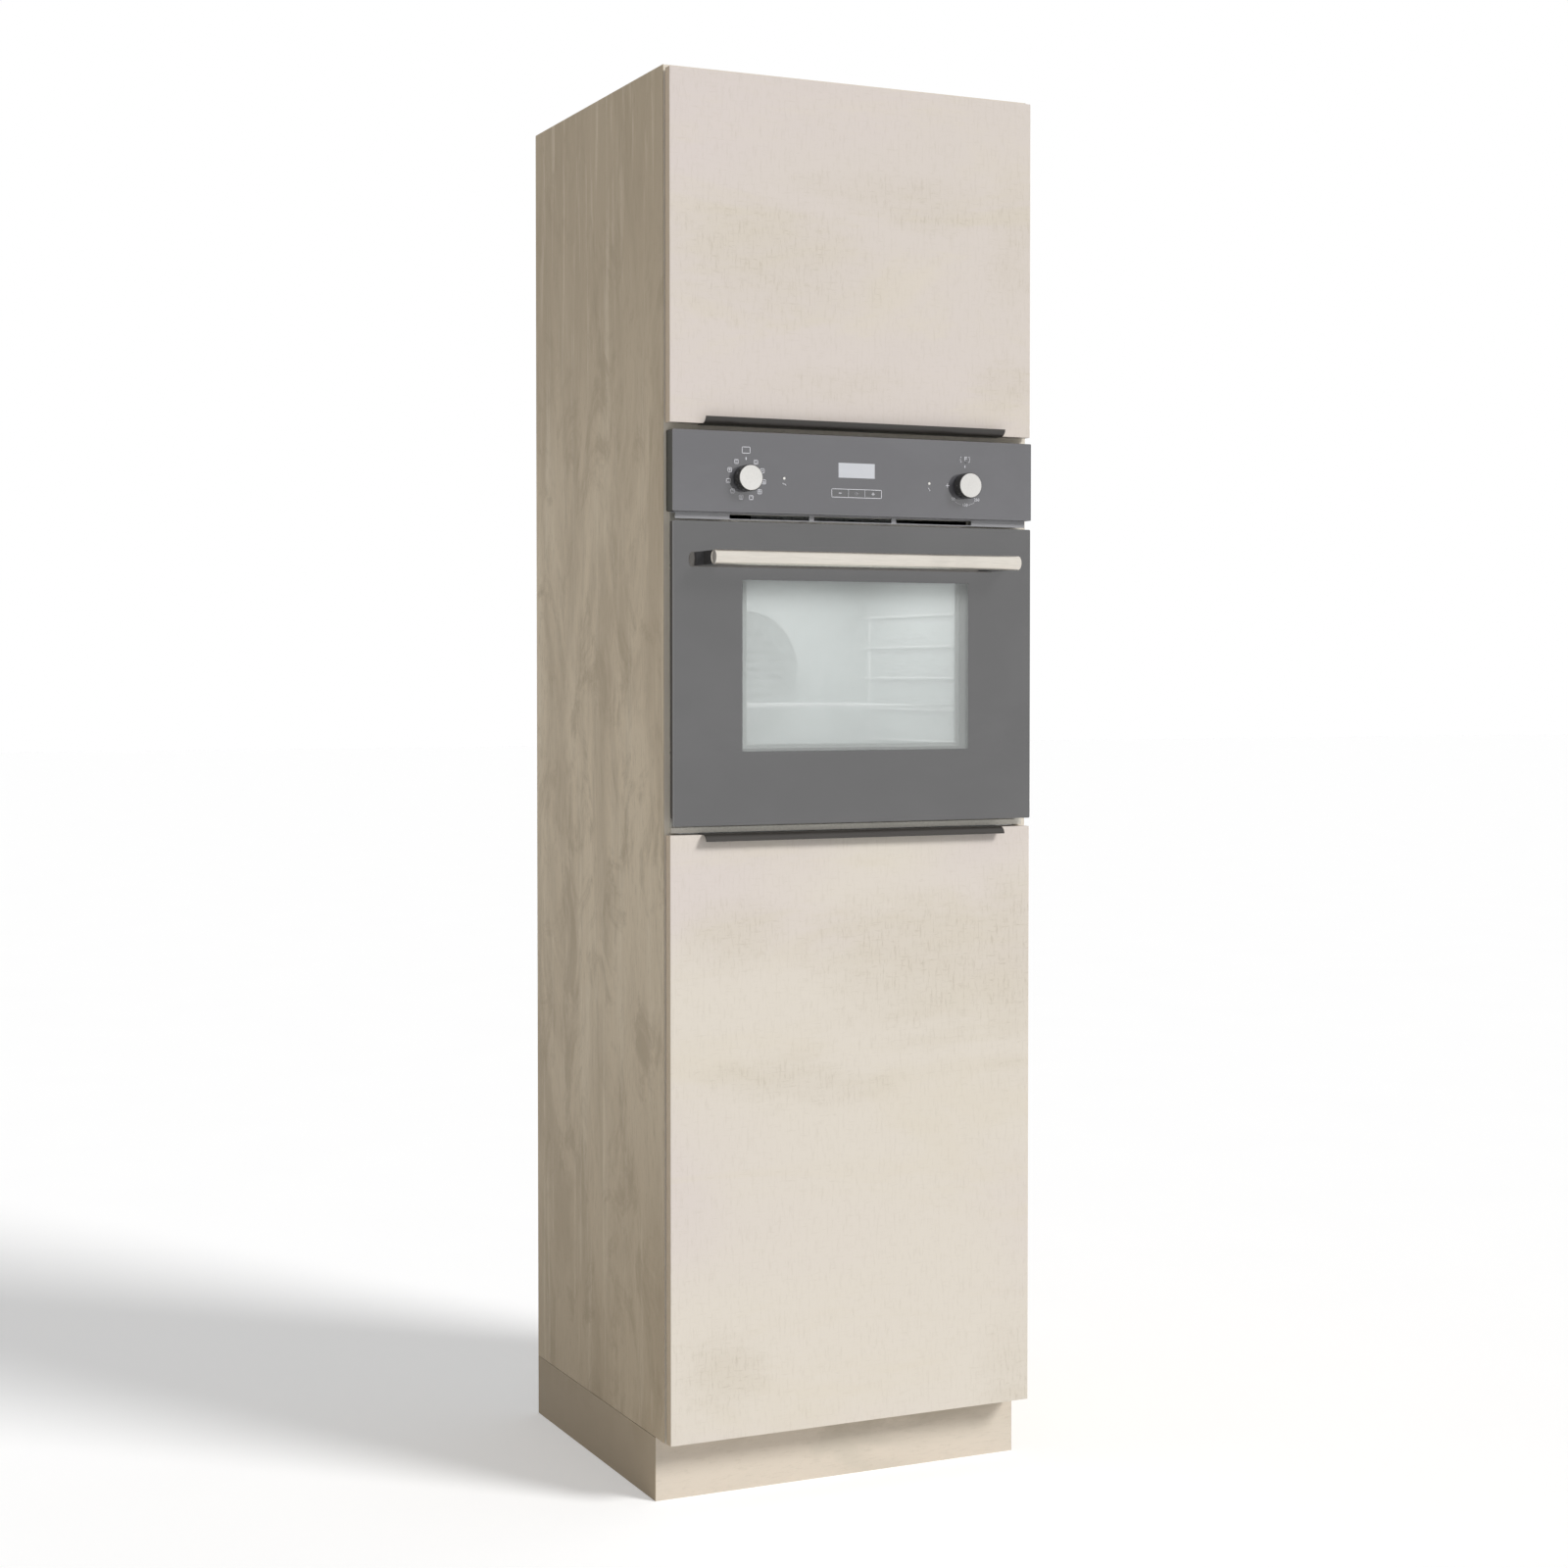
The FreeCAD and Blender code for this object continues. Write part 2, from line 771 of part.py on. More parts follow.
def wall_brackets():
    """Steel angles under the top panel, against the back, for the wall screws."""
    angles = []
    half = "Dims.bracket_leg / 2"
    for x in bracket_xs():
        flat = slab(
            (f"{x} - {half}", f"{x} + {half}"),
            ("Lay.y_back - Dims.bracket_leg", "Lay.y_back"),
            ("Lay.z_ceiling - Dims.bracket_t", "Lay.z_ceiling"),
        )
        upright = slab(
            (f"{x} - {half}", f"{x} + {half}"),
            ("Lay.y_back - Dims.bracket_t", "Lay.y_back"),
            ("Lay.z_ceiling - Dims.bracket_leg", "Lay.z_ceiling"),
        )
        start, length = "Lay.y_back - Dims.bracket_t - 1", "Dims.bracket_t + 2"
        hole = rod("y", x, start, bracket_hole_z(), "Dims.bracket_hole", length)
        angles.append(cut(fuse([flat, upright]), [hole]))
    return node(group(angles, "angles"), "wall_brackets")


# ---------------------------------------------------------------- doors
def hinge_heights(low, high):
    """Centres of a door's two hinges."""
    return (f"{low} + Dims.hinge_from_end", f"{high} - Dims.hinge_from_end")


DOORS = {
    "upper": ("Lay.z_upper_door", "Lay.z_upper_door_top"),
    "lower": ("Lay.z_lower_door", "Lay.z_lower_door_top"),
}


def door(which):
    """A slab front with eased upright edges and two blind cup holes in its back."""
    low, high = DOORS[which]
    body = new_body("door")
    face = sketch(
        body, "XZ_Plane", "-Lay.y_door_back", [rectangle(("-Lay.door_half", "Lay.door_half"), (low, high))]
    )
    board = pad(body, face, "Dims.front_t")

    soften(body, board, "Dims.edge_ease", lambda edge: along(edge, Z), "PartDesign::Chamfer")
    cups = sketch(
        body,
        "XZ_Plane",
        "-Lay.y_door_back",
        [facets("Lay.cup_x", height, "Dims.cup_radius", CUP_SIDES) for height in hinge_heights(low, high)],
    )
    pocket(body, cups, "Dims.cup_depth", flip=True)
    return node(body, f"{which}_door")


def edge_pull(which):
    """A black edge pull, bent from sheet: a leg behind the front, a web over its edge, a curved lip."""
    low, high = DOORS[which]
    edge, way = (high, 1) if which == "lower" else (low, -1)
    body = new_body("pull")
    sheet = "Dims.pull_sheet"
    centre = f"({edge} + {way} * ({sheet} - Dims.pull_drop))"
    steps = range(7)

    def bow(angle, inset):
        across = f"Lay.y_front - (Dims.pull_reach - {inset}) * sin({angle})"
        return across, f"{centre} + {way} * (Dims.pull_drop - {inset}) * cos({angle})"

    outer = [bow(15 * step, "0") for step in steps]
    inner = [bow(15 * step, sheet) for step in reversed(steps)]
    leg = f"{edge} - {way} * Dims.pull_leg"
    behind = f"Lay.y_door_back + {sheet}"
    profile = [(behind, leg), (behind, f"{edge} + {way} * {sheet}")]
    profile += outer + inner
    profile += [("Lay.y_door_back", edge), ("Lay.y_door_back", leg)]
    section = sketch(body, "YZ_Plane", "-Lay.pull_across", [outline(profile)])
    pad(body, section, "2 * Lay.pull_across")
    return node(body, f"{which}_edge_pull")


def hinge_cups(which):
    """Pressed cups with two screw wings, let into the door, each with its pivot pin."""
    low, high = DOORS[which]
    pieces = []
    for height in hinge_heights(low, high):
        floor = "Lay.y_door_back - Dims.cup_depth"
        radius = "Dims.cup_radius - 0.1"
        shell = bar("y", "Lay.cup_x", floor, height, radius, "Dims.cup_depth", CUP_SIDES)
        hollow = bar(
            "y",
            "Lay.cup_x",
            f"{floor} + Dims.cup_wall",
            height,
            f"{radius} - Dims.cup_wall",
            "Dims.cup_depth + 5",
            CUP_SIDES,
        )
        wing = slab(
            ("Lay.cup_x - Dims.wing_width / 2", "Lay.cup_x + Dims.wing_width / 2"),
            ("Lay.y_door_back", "Lay.y_door_back + Dims.wing_t"),
            (f"{height} - Dims.wing_length / 2", f"{height} + Dims.wing_length / 2"),
        )
        outer = "(Dims.cup_from_edge - Dims.hinge_pin_from_edge + Dims.hinge_pin_radius)"
        chord = f"sqrt(((Dims.cup_radius - 0.2) * cos({180 / CUP_SIDES}))^2 - {outer}^2)"
        start, length = f"{height} - {chord}", f"2 * {chord}"
        pin = rod("z", "Lay.pin_x", "Lay.pin_y", start, "Dims.hinge_pin_radius", length)
        pieces.append(fuse([cut(fuse([shell, wing]), [hollow]), pin]))
    return node(group(pieces, f"{which}_cups"), f"{which}_door_hinge_cups")


def all_hinges():
    """Heights of every hinge on the carcass."""
    return [height for low, high in DOORS.values() for height in hinge_heights(low, high)]


def hinge_arms():
    """Goose-neck arms: an eye round each cup's pin, a neck out of the cup, a channel along the side."""
    arms = []
    for height in all_hinges():
        tall = grown((height, height), "Dims.arm_width / 2")
        sheet = "Dims.arm_sheet"
        low_y = f"Lay.pin_y - {sheet} / 2"
        eye = bar("z", "Lay.pin_x", "Lay.pin_y", tall[0], "Dims.arm_eye", "Dims.arm_width", DISC_SIDES)
        neck = slab(("Lay.pin_x", f"Lay.arm_x + {sheet}"), (low_y, f"Lay.pin_y + {sheet} / 2"), tall)
        web = slab(
            ("Lay.arm_x", f"Lay.arm_x + {sheet}"), (low_y, "Lay.y_carcass + Dims.arm_length"), tall
        )
        channel = slab(
            ("Dims.plate_t - Lay.inner", f"Lay.arm_x + {sheet}"),
            ("Lay.y_carcass + 8", "Lay.y_carcass + Dims.arm_length"),
            grown(tall, 2),
        )
        bore = rod(
            "z",
            "Lay.pin_x",
            "Lay.pin_y",
            f"{height} - Dims.arm_width",
            "Dims.hinge_pin_radius + Dims.hinge_run",
            "2 * Dims.arm_width",
        )
        arms.append(cut(fuse([eye, neck, web, channel]), [bore]))
    return node(group(arms, "arms"), "hinge_arms")


def hinge_plates():
    """Mounting plates on the side panel, under the arms."""
    plates = [
        slab(
            ("-Lay.inner", "Dims.plate_t - Lay.inner"),
            ("Lay.y_carcass + 6", "Lay.y_carcass + 6 + Dims.plate_length"),
            grown((height, height), "Dims.plate_height / 2"),
        )
        for height in all_hinges()
    ]
    return node(group(plates, "plates"), "hinge_mounting_plates")


def grown(span, by):
    """A span made wider at both ends."""
    return (f"({span[0]}) - ({by})", f"({span[1]}) + ({by})")


# ---------------------------------------------------------------- oven body
def oven_casing():
    """Five plain sheet covers round the oven: two sides, top, rear and base."""
    half = "Lay.casing_across"
    sheet = "Dims.casing_sheet"
    low, high = "Lay.z_niche", "Lay.z_casing_top"
    front, rear = "Lay.y_carcass", "Lay.y_casing_rear"
    within = (f"-{half} + {sheet}", f"{half} - {sheet}")
    covers = [
        slab((f"-{half}", f"-{half} + {sheet}"), (front, rear), (low, high)),
        slab((f"{half} - {sheet}", half), (front, rear), (low, high)),
        slab(within, (front, rear), (f"{high} - {sheet}", high)),
        slab(within, (front, rear), (low, f"{low} + {sheet}")),
        slab(within, (f"{rear} - {sheet}", rear), (f"{low} + {sheet}", f"{high} - {sheet}")),
    ]
    return node(group(covers, "covers"), "oven_casing")


CAVITY_X = ("-Lay.cavity_across", "Lay.cavity_across")
CAVITY_Z = ("Lay.z_cavity", "Lay.z_cavity_top")


def oven_cavity():
    """The enamelled muffle: an open-fronted box with a flange round its mouth."""
    body = new_body("cavity")
    sheet = "Dims.cavity_sheet"
    block = sketch(
        body, "XZ_Plane", "-Lay.y_carcass", [rectangle(grown(CAVITY_X, sheet), grown(CAVITY_Z, sheet))]
    )
    pad(body, block, f"Lay.y_cavity_rear - Lay.y_carcass + {sheet}", flip=True)
    lip = sketch(
        body,
        "XZ_Plane",
        "-Lay.y_carcass",
        [rectangle(grown(CAVITY_X, "Dims.cavity_flange"), grown(CAVITY_Z, "Dims.cavity_flange"))],
    )
    pad(body, lip, sheet, flip=True)
    hollow = sketch(body, "XZ_Plane", "-Lay.y_carcass", [rectangle(CAVITY_X, CAVITY_Z)])
    pocket(body, hollow, "Lay.y_cavity_rear - Lay.y_carcass")
    shaft = sketch(body, "XZ_Plane", "-Lay.y_cavity_rear", [ring(0, "Lay.z_fan", "Dims.fan_shaft + 0.5")])
    pocket(body, shaft, "2 * Dims.cavity_sheet")
    return node(body, "oven_cavity")


def insulation():
    """The mineral-wool wrap between muffle and covers."""
    outer = slab(
        grown(CAVITY_X, "Dims.cavity_sheet + Dims.insulation_t"),
        ("Lay.y_carcass + 6", "Lay.y_cavity_rear + Dims.cavity_sheet + Dims.insulation_t"),
        grown(CAVITY_Z, "Dims.cavity_sheet + Dims.insulation_t"),
    )
    inner = slab(
        grown(CAVITY_X, "Dims.cavity_sheet"),
        ("Lay.y_carcass", "Lay.y_cavity_rear + Dims.cavity_sheet"),
        grown(CAVITY_Z, "Dims.cavity_sheet"),
    )
    start, length = "Lay.y_cavity_rear - 5", "Dims.insulation_t + 20"
    motor = bar("y", 0, start, "Lay.z_fan", "Dims.motor_radius + 1", length, CUP_SIDES)
    return node(cut(outer, [inner, motor]), "insulation")


def cheek_x(hand):
    """Across position of a hinge cheek's middle."""
    return f"{hand} * (Lay.pivot_across + 1.5 * Dims.pivot_sheet + Dims.pivot_play)"


def front_frame():
    """The sheet face of the oven body, open for the cavity, the cooling air, hinges and screws."""
    body = new_body("frame")
    slots = [
        rectangle(
            grown((cheek_x(hand), cheek_x(hand)), "Dims.pivot_sheet"),
            grown(("Lay.pivot_z", "Lay.pivot_z"), "2 * Dims.pivot_neck"),
        )
        for _, hand in SIDES
    ]
    holes = [
        facets(screw_x(hand), height, "Dims.screw_hole")
        for _, hand in SIDES
        for height in SCREW_HEIGHTS
    ]
    breath = rectangle((vent_edge(-1), vent_edge(1)), ("Lay.z_slot", "Lay.z_slot_top"))
    face = sketch(
        body,
        "XZ_Plane",
        "-Lay.y_frame",
        [
            rectangle(
                ("-Lay.frame_across", "Lay.frame_across"),
                ("Lay.z_niche + Dims.frame_foot", "Lay.z_panel_top - Dims.fascia_wall - 0.5"),
            ),
            rectangle(CAVITY_X, CAVITY_Z),
            breath,
        ]
        + slots
        + holes,
    )
    pad(body, face, "Dims.frame_sheet", flip=True)
    sill = sketch(
        body,
        "XY_Plane",
        "Lay.z_niche + Dims.frame_foot",
        [
            rectangle(
                ("-Lay.frame_across", "Lay.frame_across"),
                ("Lay.y_frame - Dims.sill_depth", "Lay.y_frame + 0.5"),
            )
        ],
    )
    pad(body, sill, "Dims.sill_t")
    return node(body, "oven_front_frame")


def fixing_screws():
    """Screws through the oven's frame into the sides' front edges."""
    screws = []
    for _, hand in SIDES:
        for height in SCREW_HEIGHTS:
            x, head_y = screw_x(hand), "Lay.y_frame - Dims.screw_head_t"
            head = bar("y", x, head_y, height, "Dims.screw_head", "Dims.screw_head_t")
            shank = bar("y", x, "Lay.y_frame - 1", height, "Dims.screw_shank", "Dims.screw_length")
            screws.append(fuse([head, shank]))
    return node(group(screws, "fixings"), "oven_fixing_screws")


def door_seal():
    """The soft ring round the cavity's mouth."""
    reach = "3 + Dims.seal_width"
    outer = slab(grown(CAVITY_X, reach), ("Lay.y_seal", "Lay.y_frame"), grown(CAVITY_Z, reach))
    inner = slab(grown(CAVITY_X, "3"), ("Lay.y_seal - 1", "Lay.y_frame + 1"), grown(CAVITY_Z, "3"))
    return node(cut(outer, [inner]), "door_seal")


GUIDE_Y = ("Lay.y_carcass + 30", "Lay.y_cavity_rear - 12")


def guide_level(index):
    """Height of one guide wire's centre."""
    return f"Lay.z_guide + Dims.guide_pitch * {index}"


def rack_guides():
    """A wire ladder on each side wall of the cavity."""
    ladders = []
    levels = int(num("Dims.guide_levels"))
    wire = "Dims.guide_wire"
    for _, hand in SIDES:
        wall = f"{hand} * (Lay.cavity_across - {wire} - 0.2)"
        rung = f"{hand} * (Lay.cavity_across - 2.5 * {wire} - 0.2)"
        wires = []
        for y in (f"{GUIDE_Y[0]} + 15", f"{GUIDE_Y[1]} - 15"):
            low = f"{guide_level(0)} - 12"
            tall = f"Dims.guide_pitch * {levels - 1} + 24"
            wires.append(bar("z", wall, y, low, wire, tall))
            start = wall if hand > 0 else "-Lay.cavity_across"
            for peg in (f"{low} + 7", f"{low} + {tall} - 7"):
                wires.append(bar("x", start, y, peg, 1.4, f"{wire} + 0.2", 6))
        run = f"({GUIDE_Y[1]}) - ({GUIDE_Y[0]})"
        for index in range(levels):
            wires.append(bar("y", rung, GUIDE_Y[0], guide_level(index), wire, run))
        ladders.append(fuse(wires))
    return node(group(ladders, "ladders"), "rack_guides")


def oven_rack():
    """The wire rack: a rim of thicker wire with thinner bars along it, resting on the guides."""
    rim, thin = "Dims.rack_wire", "Dims.rack_bar"
    half = f"(Lay.cavity_across - 2.5 * Dims.guide_wire + {rim} - 1.7)"
    front, rear = "Lay.y_carcass + 34", "Lay.y_cavity_rear - Dims.fan_cover_stand - 3"
    centre = f"{guide_level(int(num('Dims.rack_level')))} + Dims.guide_wire + {rim} + Dims.rack_gap"
    deck = f"{centre} + 1.4 * {rim}"
    run = f"({rear}) - ({front})"
    wires = [bar("y", f"{hand} * ({half} - {rim})", front, centre, rim, run) for _, hand in SIDES]
    wires += [
        bar("x", f"-{half}", y, deck, rim, f"2 * {half}") for y in (f"{front} + 6", f"{rear} - 6")
    ]
    count = int(num("Dims.rack_bars"))
    for index in range(count):
        share = (index + 1) / (count + 1) * 2 - 1
        across = f"{share:.5f} * {half}"
        wires.append(bar("y", across, f"{front} + 6", deck, thin, f"{run} - 12", 6))
    return node(fuse(wires), "oven_rack")


def fan_cover():
    """The round louvred cover over the cavity's rear fan."""
    face = "Lay.y_cavity_rear - Dims.fan_cover_stand"
    depth, radius, sides = "Dims.fan_cover_stand", "Dims.fan_cover_radius", 2 * CUP_SIDES
    disc = bar("y", 0, face, "Lay.z_fan", radius, depth, sides)
    room = bar("y", 0, f"{face} + 1.5", "Lay.z_fan", f"{radius} - 2", depth, sides)
    tools = [room]
    tools += [
        slab(
            (f"-sqrt(66^2 - {abs(k) * 14}^2)", f"sqrt(66^2 - {abs(k) * 14}^2)"),
            (f"{face} - 1", f"{face} + 3"),
            (f"Lay.z_fan + {k * 14} - 3", f"Lay.z_fan + {k * 14} + 3"),
        )
        for k in range(-4, 5)
    ]
    return node(cut(disc, tools), "fan_cover")


def convection_fan():
    """The fan wheel behind the cover: a hub, a back disc and paddle blades."""
    back = "Lay.y_cavity_rear - Dims.fan_back"
    height = "Lay.z_fan"
    sheet = "Dims.fan_sheet"
    disc = bar("y", 0, f"{back} - {sheet}", height, "Dims.fan_radius * 0.55", sheet, CUP_SIDES)
    hub = bar("y", 0, f"{back} - Dims.fan_blade", height, "Dims.fan_hub", "Dims.fan_blade", DISC_SIDES)
    blades = []
    count = int(num("Dims.fan_blades"))
    for index in range(count):
        blade = DOC.addObject("Part::Box", unique("blade"))
        bind(blade, "Length", "Dims.fan_radius - 5")
        bind(blade, "Width", "Dims.fan_blade")
        bind(blade, "Height", "Dims.fan_sheet")
        angle = 360 / count * index
        turn = FreeCAD.Rotation(V(0, 1, 0), angle)
        root, half = "(Dims.fan_hub - 2)", "(Dims.fan_sheet / 2)"
        x = f"{root} * cos({angle}) - {half} * sin({angle})"
        z = f"{height} - {root} * sin({angle}) - {half} * cos({angle})"
        put(blade, x, f"{back} - Dims.fan_sheet - Dims.fan_blade", z, turn)
        blades.append(blade)
    reach = "Dims.fan_back + 1 + Dims.cavity_sheet + 10"
    shaft = rod("y", 0, f"{back} - 1", height, "Dims.fan_shaft", reach)
    return node(fuse([disc, hub, shaft] + blades), "convection_fan")


def fan_motor():
    """The fan's motor behind the cavity, with its bearing's bore."""
    start = "Lay.y_cavity_rear + Dims.cavity_sheet"
    case = bar("y", 0, start, "Lay.z_fan", "Dims.motor_radius", "Dims.motor_length", CUP_SIDES)
    bore = rod("y", 0, f"{start} - 1", "Lay.z_fan", "Dims.fan_shaft + 0.05", "12")
    return node(cut(case, [bore]), "fan_motor")


def grill_element():
    """The grill: a tube looped under the cavity's roof."""
    radius = "Dims.grill_radius"
    level = "Lay.z_cavity_top - Dims.grill_drop"
    rear, front = "Lay.y_cavity_rear", "Lay.y_carcass + 70"
    outer, inner = "(Lay.cavity_across - Dims.grill_inset)", "Dims.grill_inner"
    run, legs = f"({rear}) - ({front})", (f"-{outer}", f"-{inner}", inner, outer)
    tubes = [bar("y", x, front, level, radius, run) for x in legs]
    runs = (
        (f"-{outer}", f"{outer} - {inner}", f"{front} + 6"),
        (inner, f"{outer} - {inner}", f"{front} + 6"),
        (f"-{inner}", f"2 * {inner}", f"{rear} - 40"),
    )
    for x0, length, y in runs:
        tubes.append(bar("x", x0, y, level, f"{radius} - 0.4", length))
    return node(fuse(tubes), "grill_element")


def lamp_cover():
    """The round glass of the cavity's lamp, on the rear wall."""
    x, z = "-Lay.cavity_across + 2 * Dims.lamp_radius + 4", "Lay.z_cavity_top - 2 * Dims.lamp_radius + 1"
    front = "Lay.y_cavity_rear - Dims.lamp_t"
    return node(bar("y", x, front, z, "Dims.lamp_radius", "Dims.lamp_t", 2 * DISC_SIDES), "lamp_cover")


def cooling_blower():
    """The cross-flow blower above the insulation, which breathes out over the door."""
    roof = "Lay.z_cavity_top + Dims.cavity_sheet + Dims.insulation_t"
    half, y, z = "Dims.blower_half", "Lay.y_carcass + Dims.blower_back", f"{roof} + Dims.blower_lift"
    drum = bar("x", f"-{half}", y, z, "Dims.blower_radius", f"2 * {half}", CUP_SIDES)
    foot = slab((f"-{half}", half), (f"{y} - Dims.blower_motor", f"{y} + Dims.blower_motor"), (roof, z))
    motor = bar("x", half, y, z, "Dims.blower_motor", "Dims.blower_motor_length", DISC_SIDES)
    return node(fuse([drum, foot, motor]), "cooling_blower")


# ---------------------------------------------------------------- control panel
PANEL_Z = ("Lay.z_panel", "Lay.z_panel_top")
KEYS = ("minus", "mode", "plus")


def key_x(index):
    """Across position of a key's centre."""
    return f"({index - 1} * Dims.key_width + Dims.middle_shift)"


DISPLAY_X = ("Dims.middle_shift - Dims.display_width / 2", "Dims.middle_shift + Dims.display_width / 2")


def knob_x(hand):
    """Across position of a knob's axis."""
    return f"{hand} * Dims.knob_spacing / 2"


def control_fascia():
    """The control panel's shell: a shallow tray, open behind, pierced for knobs, keys, display and lights."""
    body = new_body("fascia")
    half = "Lay.panel_across"
    wall = "Dims.fascia_wall"
    block = sketch(body, "XZ_Plane", "-Lay.y_glass", [rectangle((f"-{half}", half), PANEL_Z)])
    pad(body, block, "Lay.y_frame - Lay.y_glass", flip=True)
    hollow = sketch(
        body,
        "XZ_Plane",
        f"-Lay.y_glass - {wall}",
        [rectangle((f"-{half} + {wall}", f"{half} - {wall}"), grown(PANEL_Z, f"-{wall}"))],
    )
    pocket(body, hollow, "Lay.y_carcass - Lay.y_glass")
    display = rectangle(
        DISPLAY_X,
        ("Lay.z_display", "Lay.z_display_top"),
    )
    keys = [
        rectangle(
            (f"{key_x(i)} - Dims.key_width / 2 + 0.3", f"{key_x(i)} + Dims.key_width / 2 - 0.3"),
            ("Lay.z_key", "Lay.z_key_top"),
        )
        for i in range(len(KEYS))
    ]
    rounds = [ring(knob_x(hand), "Lay.z_knob", "Dims.knob_hole") for _, hand in SIDES]
    lift = "Lay.z_knob + Dims.lens_lift"
    rounds += [
        facets(f"{hand} * Dims.lens_spacing / 2", lift, "Dims.lens_radius", DISC_SIDES)
        for _, hand in SIDES
    ]
    holes = sketch(body, "XZ_Plane", "-Lay.y_glass", [display] + keys + rounds)
    pocket(body, holes, wall)
    return node(body, "control_fascia")


def display_lens():
    """The clock's window, with a flange behind the fascia."""
    wall = "Dims.fascia_wall"
    z = ("Lay.z_display", "Lay.z_display_top")
    x = DISPLAY_X
    pane = slab(grown(x, "-0.1"), ("Lay.y_glass", f"Lay.y_glass + {wall}"), grown(z, "-0.1"))
    flange = slab(grown(x, 3), (f"Lay.y_glass + {wall}", f"Lay.y_glass + {wall} + 1.5"), grown(z, 3))
    return node(fuse([pane, flange]), "display_lens")


def timer_module():
    """The timer's housing behind display and keys."""
    front = "Lay.y_glass + Dims.fascia_wall + 1.5 + Dims.key_travel + 2.7"
    case = slab(("-55", "55"), (front, "Lay.y_frame"), ("Lay.z_key - 8", "Lay.z_display + 32"))
    shade = slab(
        DISPLAY_X,
        ("Lay.y_glass + Dims.fascia_wall + 1.5", front),
        ("Lay.z_display", "Lay.z_display_top"),
    )
    return node(fuse([case, shade]), "timer_module")


def key(index, word):
    """A flush key: a cap in its opening and a wider flange behind the fascia."""
    x = (f"{key_x(index)} - Dims.key_width / 2 + 0.3", f"{key_x(index)} + Dims.key_width / 2 - 0.3")
    z = ("Lay.z_key", "Lay.z_key_top")
    inner = "Lay.y_glass + Dims.fascia_wall"
    cap = slab(grown(x, "-Dims.key_clear"), ("Lay.y_glass", f"{inner} + 0.3"), grown(z, "-Dims.key_clear"))
    flange = slab(x, (f"{inner} + 0.3", f"{inner} + 1.5"), grown(z, 1))
    stem = slab(
        (f"{key_x(index)} - 3", f"{key_x(index)} + 3"),
        (f"{inner} + 1.5", f"{inner} + 1.5 + 2.4"),
        ("Lay.z_key + 2", "Lay.z_key_top - 2"),
    )
    return node(fuse([cap, flange, stem]), f"key_{word}")


def indicator_lenses():
    """Two small indicator lights."""
    lights = []
    for _, hand in SIDES:
        x = f"{hand} * Dims.lens_spacing / 2"
        z = "Lay.z_knob + Dims.lens_lift"
        stalk = bar("y", x, "Lay.y_glass - 0.4", z, "Dims.lens_radius - 0.05", "5", DISC_SIDES)
        foot = bar("y", x, "Lay.y_glass + Dims.fascia_wall", z, "Dims.lens_radius + 1.5", "3", DISC_SIDES)
        lights.append(fuse([stalk, foot]))
    return node(group(lights, "lights"), "indicator_lenses")


SWITCH_Y = "(Lay.y_frame - Dims.switch_depth)"


def rotary_switches():
    """The function switch and the thermostat, on the carrier, each with its spindle's bore."""
    switches = []
    for _, hand in SIDES:
        case = bar(
            "y", knob_x(hand), SWITCH_Y, "Lay.z_knob", "Dims.switch_radius", "Dims.switch_depth", CUP_SIDES
        )
        bore = rod(
            "y",
            knob_x(hand),
            f"{SWITCH_Y} - 1",
            "Lay.z_knob",
            "Dims.spindle_radius + Dims.spindle_run",
            "Dims.switch_depth - 1",
        )
        switches.append(cut(case, [bore]))
    return node(group(switches, "switches"), "rotary_switches")


def knob(name, hand):
    """A turned knob with an eased rim and a shallow dish in its face, fast on its spindle."""
    body = new_body("knob")
    radius, depth = "Dims.knob_radius", "Dims.knob_depth"
    profile = [
        ("0", "0"),
        (radius, "0"),
        (radius, f"{depth} - Dims.knob_ease"),
        (f"{radius} - Dims.knob_ease", depth),
        (f"{radius} - 2", depth),
        (f"{radius} - 2.6", f"{depth} - 0.5"),
        ("0", f"{depth} - 0.5"),
    ]
    spin(body, sketch(body, "XZ_Plane", 0, [outline(profile)]))
    body.Placement = FreeCAD.Placement(V(0, 0, 0), FreeCAD.Rotation(V(1, 0, 0), 90))
    put(body, knob_x(hand), "Lay.y_glass - Dims.knob_gap", "Lay.z_knob")
    start = "Lay.y_glass - Dims.knob_gap"
    reach = f"{SWITCH_Y} + Dims.switch_depth - 2.3 - ({start})"
    spindle = rod("y", knob_x(hand), f"{start} - 2", "Lay.z_knob", "Dims.spindle_radius", f"{reach} + 2")
    return node(fuse([body, spindle], name + "_set"), name)


def vent_centre(index):
    """Across position of a slot's middle."""
    return f"{index} * Dims.vent_slot_pitch + Dims.vent_shift"


def vent_edge(hand):
    """Across position of the outer end of the outermost slot."""
    return f"({vent_centre(hand)} + {hand} * Dims.vent_slot / 2)"


def vent_grille():
    """The slotted strip between control panel and door, through which the cooling air leaves."""
    half = "(Lay.panel_across - Dims.vent_inset)"
    low, high = "Lay.z_vent", "Lay.z_panel"
    front = "Lay.y_front + 1"
    face = slab((f"-{half}", half), (front, f"{front} + 1.5"), (low, high))
    ledge = slab((f"-{half}", half), (f"{front} + 1.5", "Lay.y_frame"), (f"{high} - 1.5", high))
    slots = [
        slab(
            grown((vent_centre(k), vent_centre(k)), "Dims.vent_slot / 2"),
            (f"{front} - 1", f"{front} + 1.5"),
            ("Lay.z_slot", "Lay.z_slot_top"),
        )
        for k in (-1, 0, 1)
    ]
    return node(cut(fuse([face, ledge]), slots), "vent_grille")


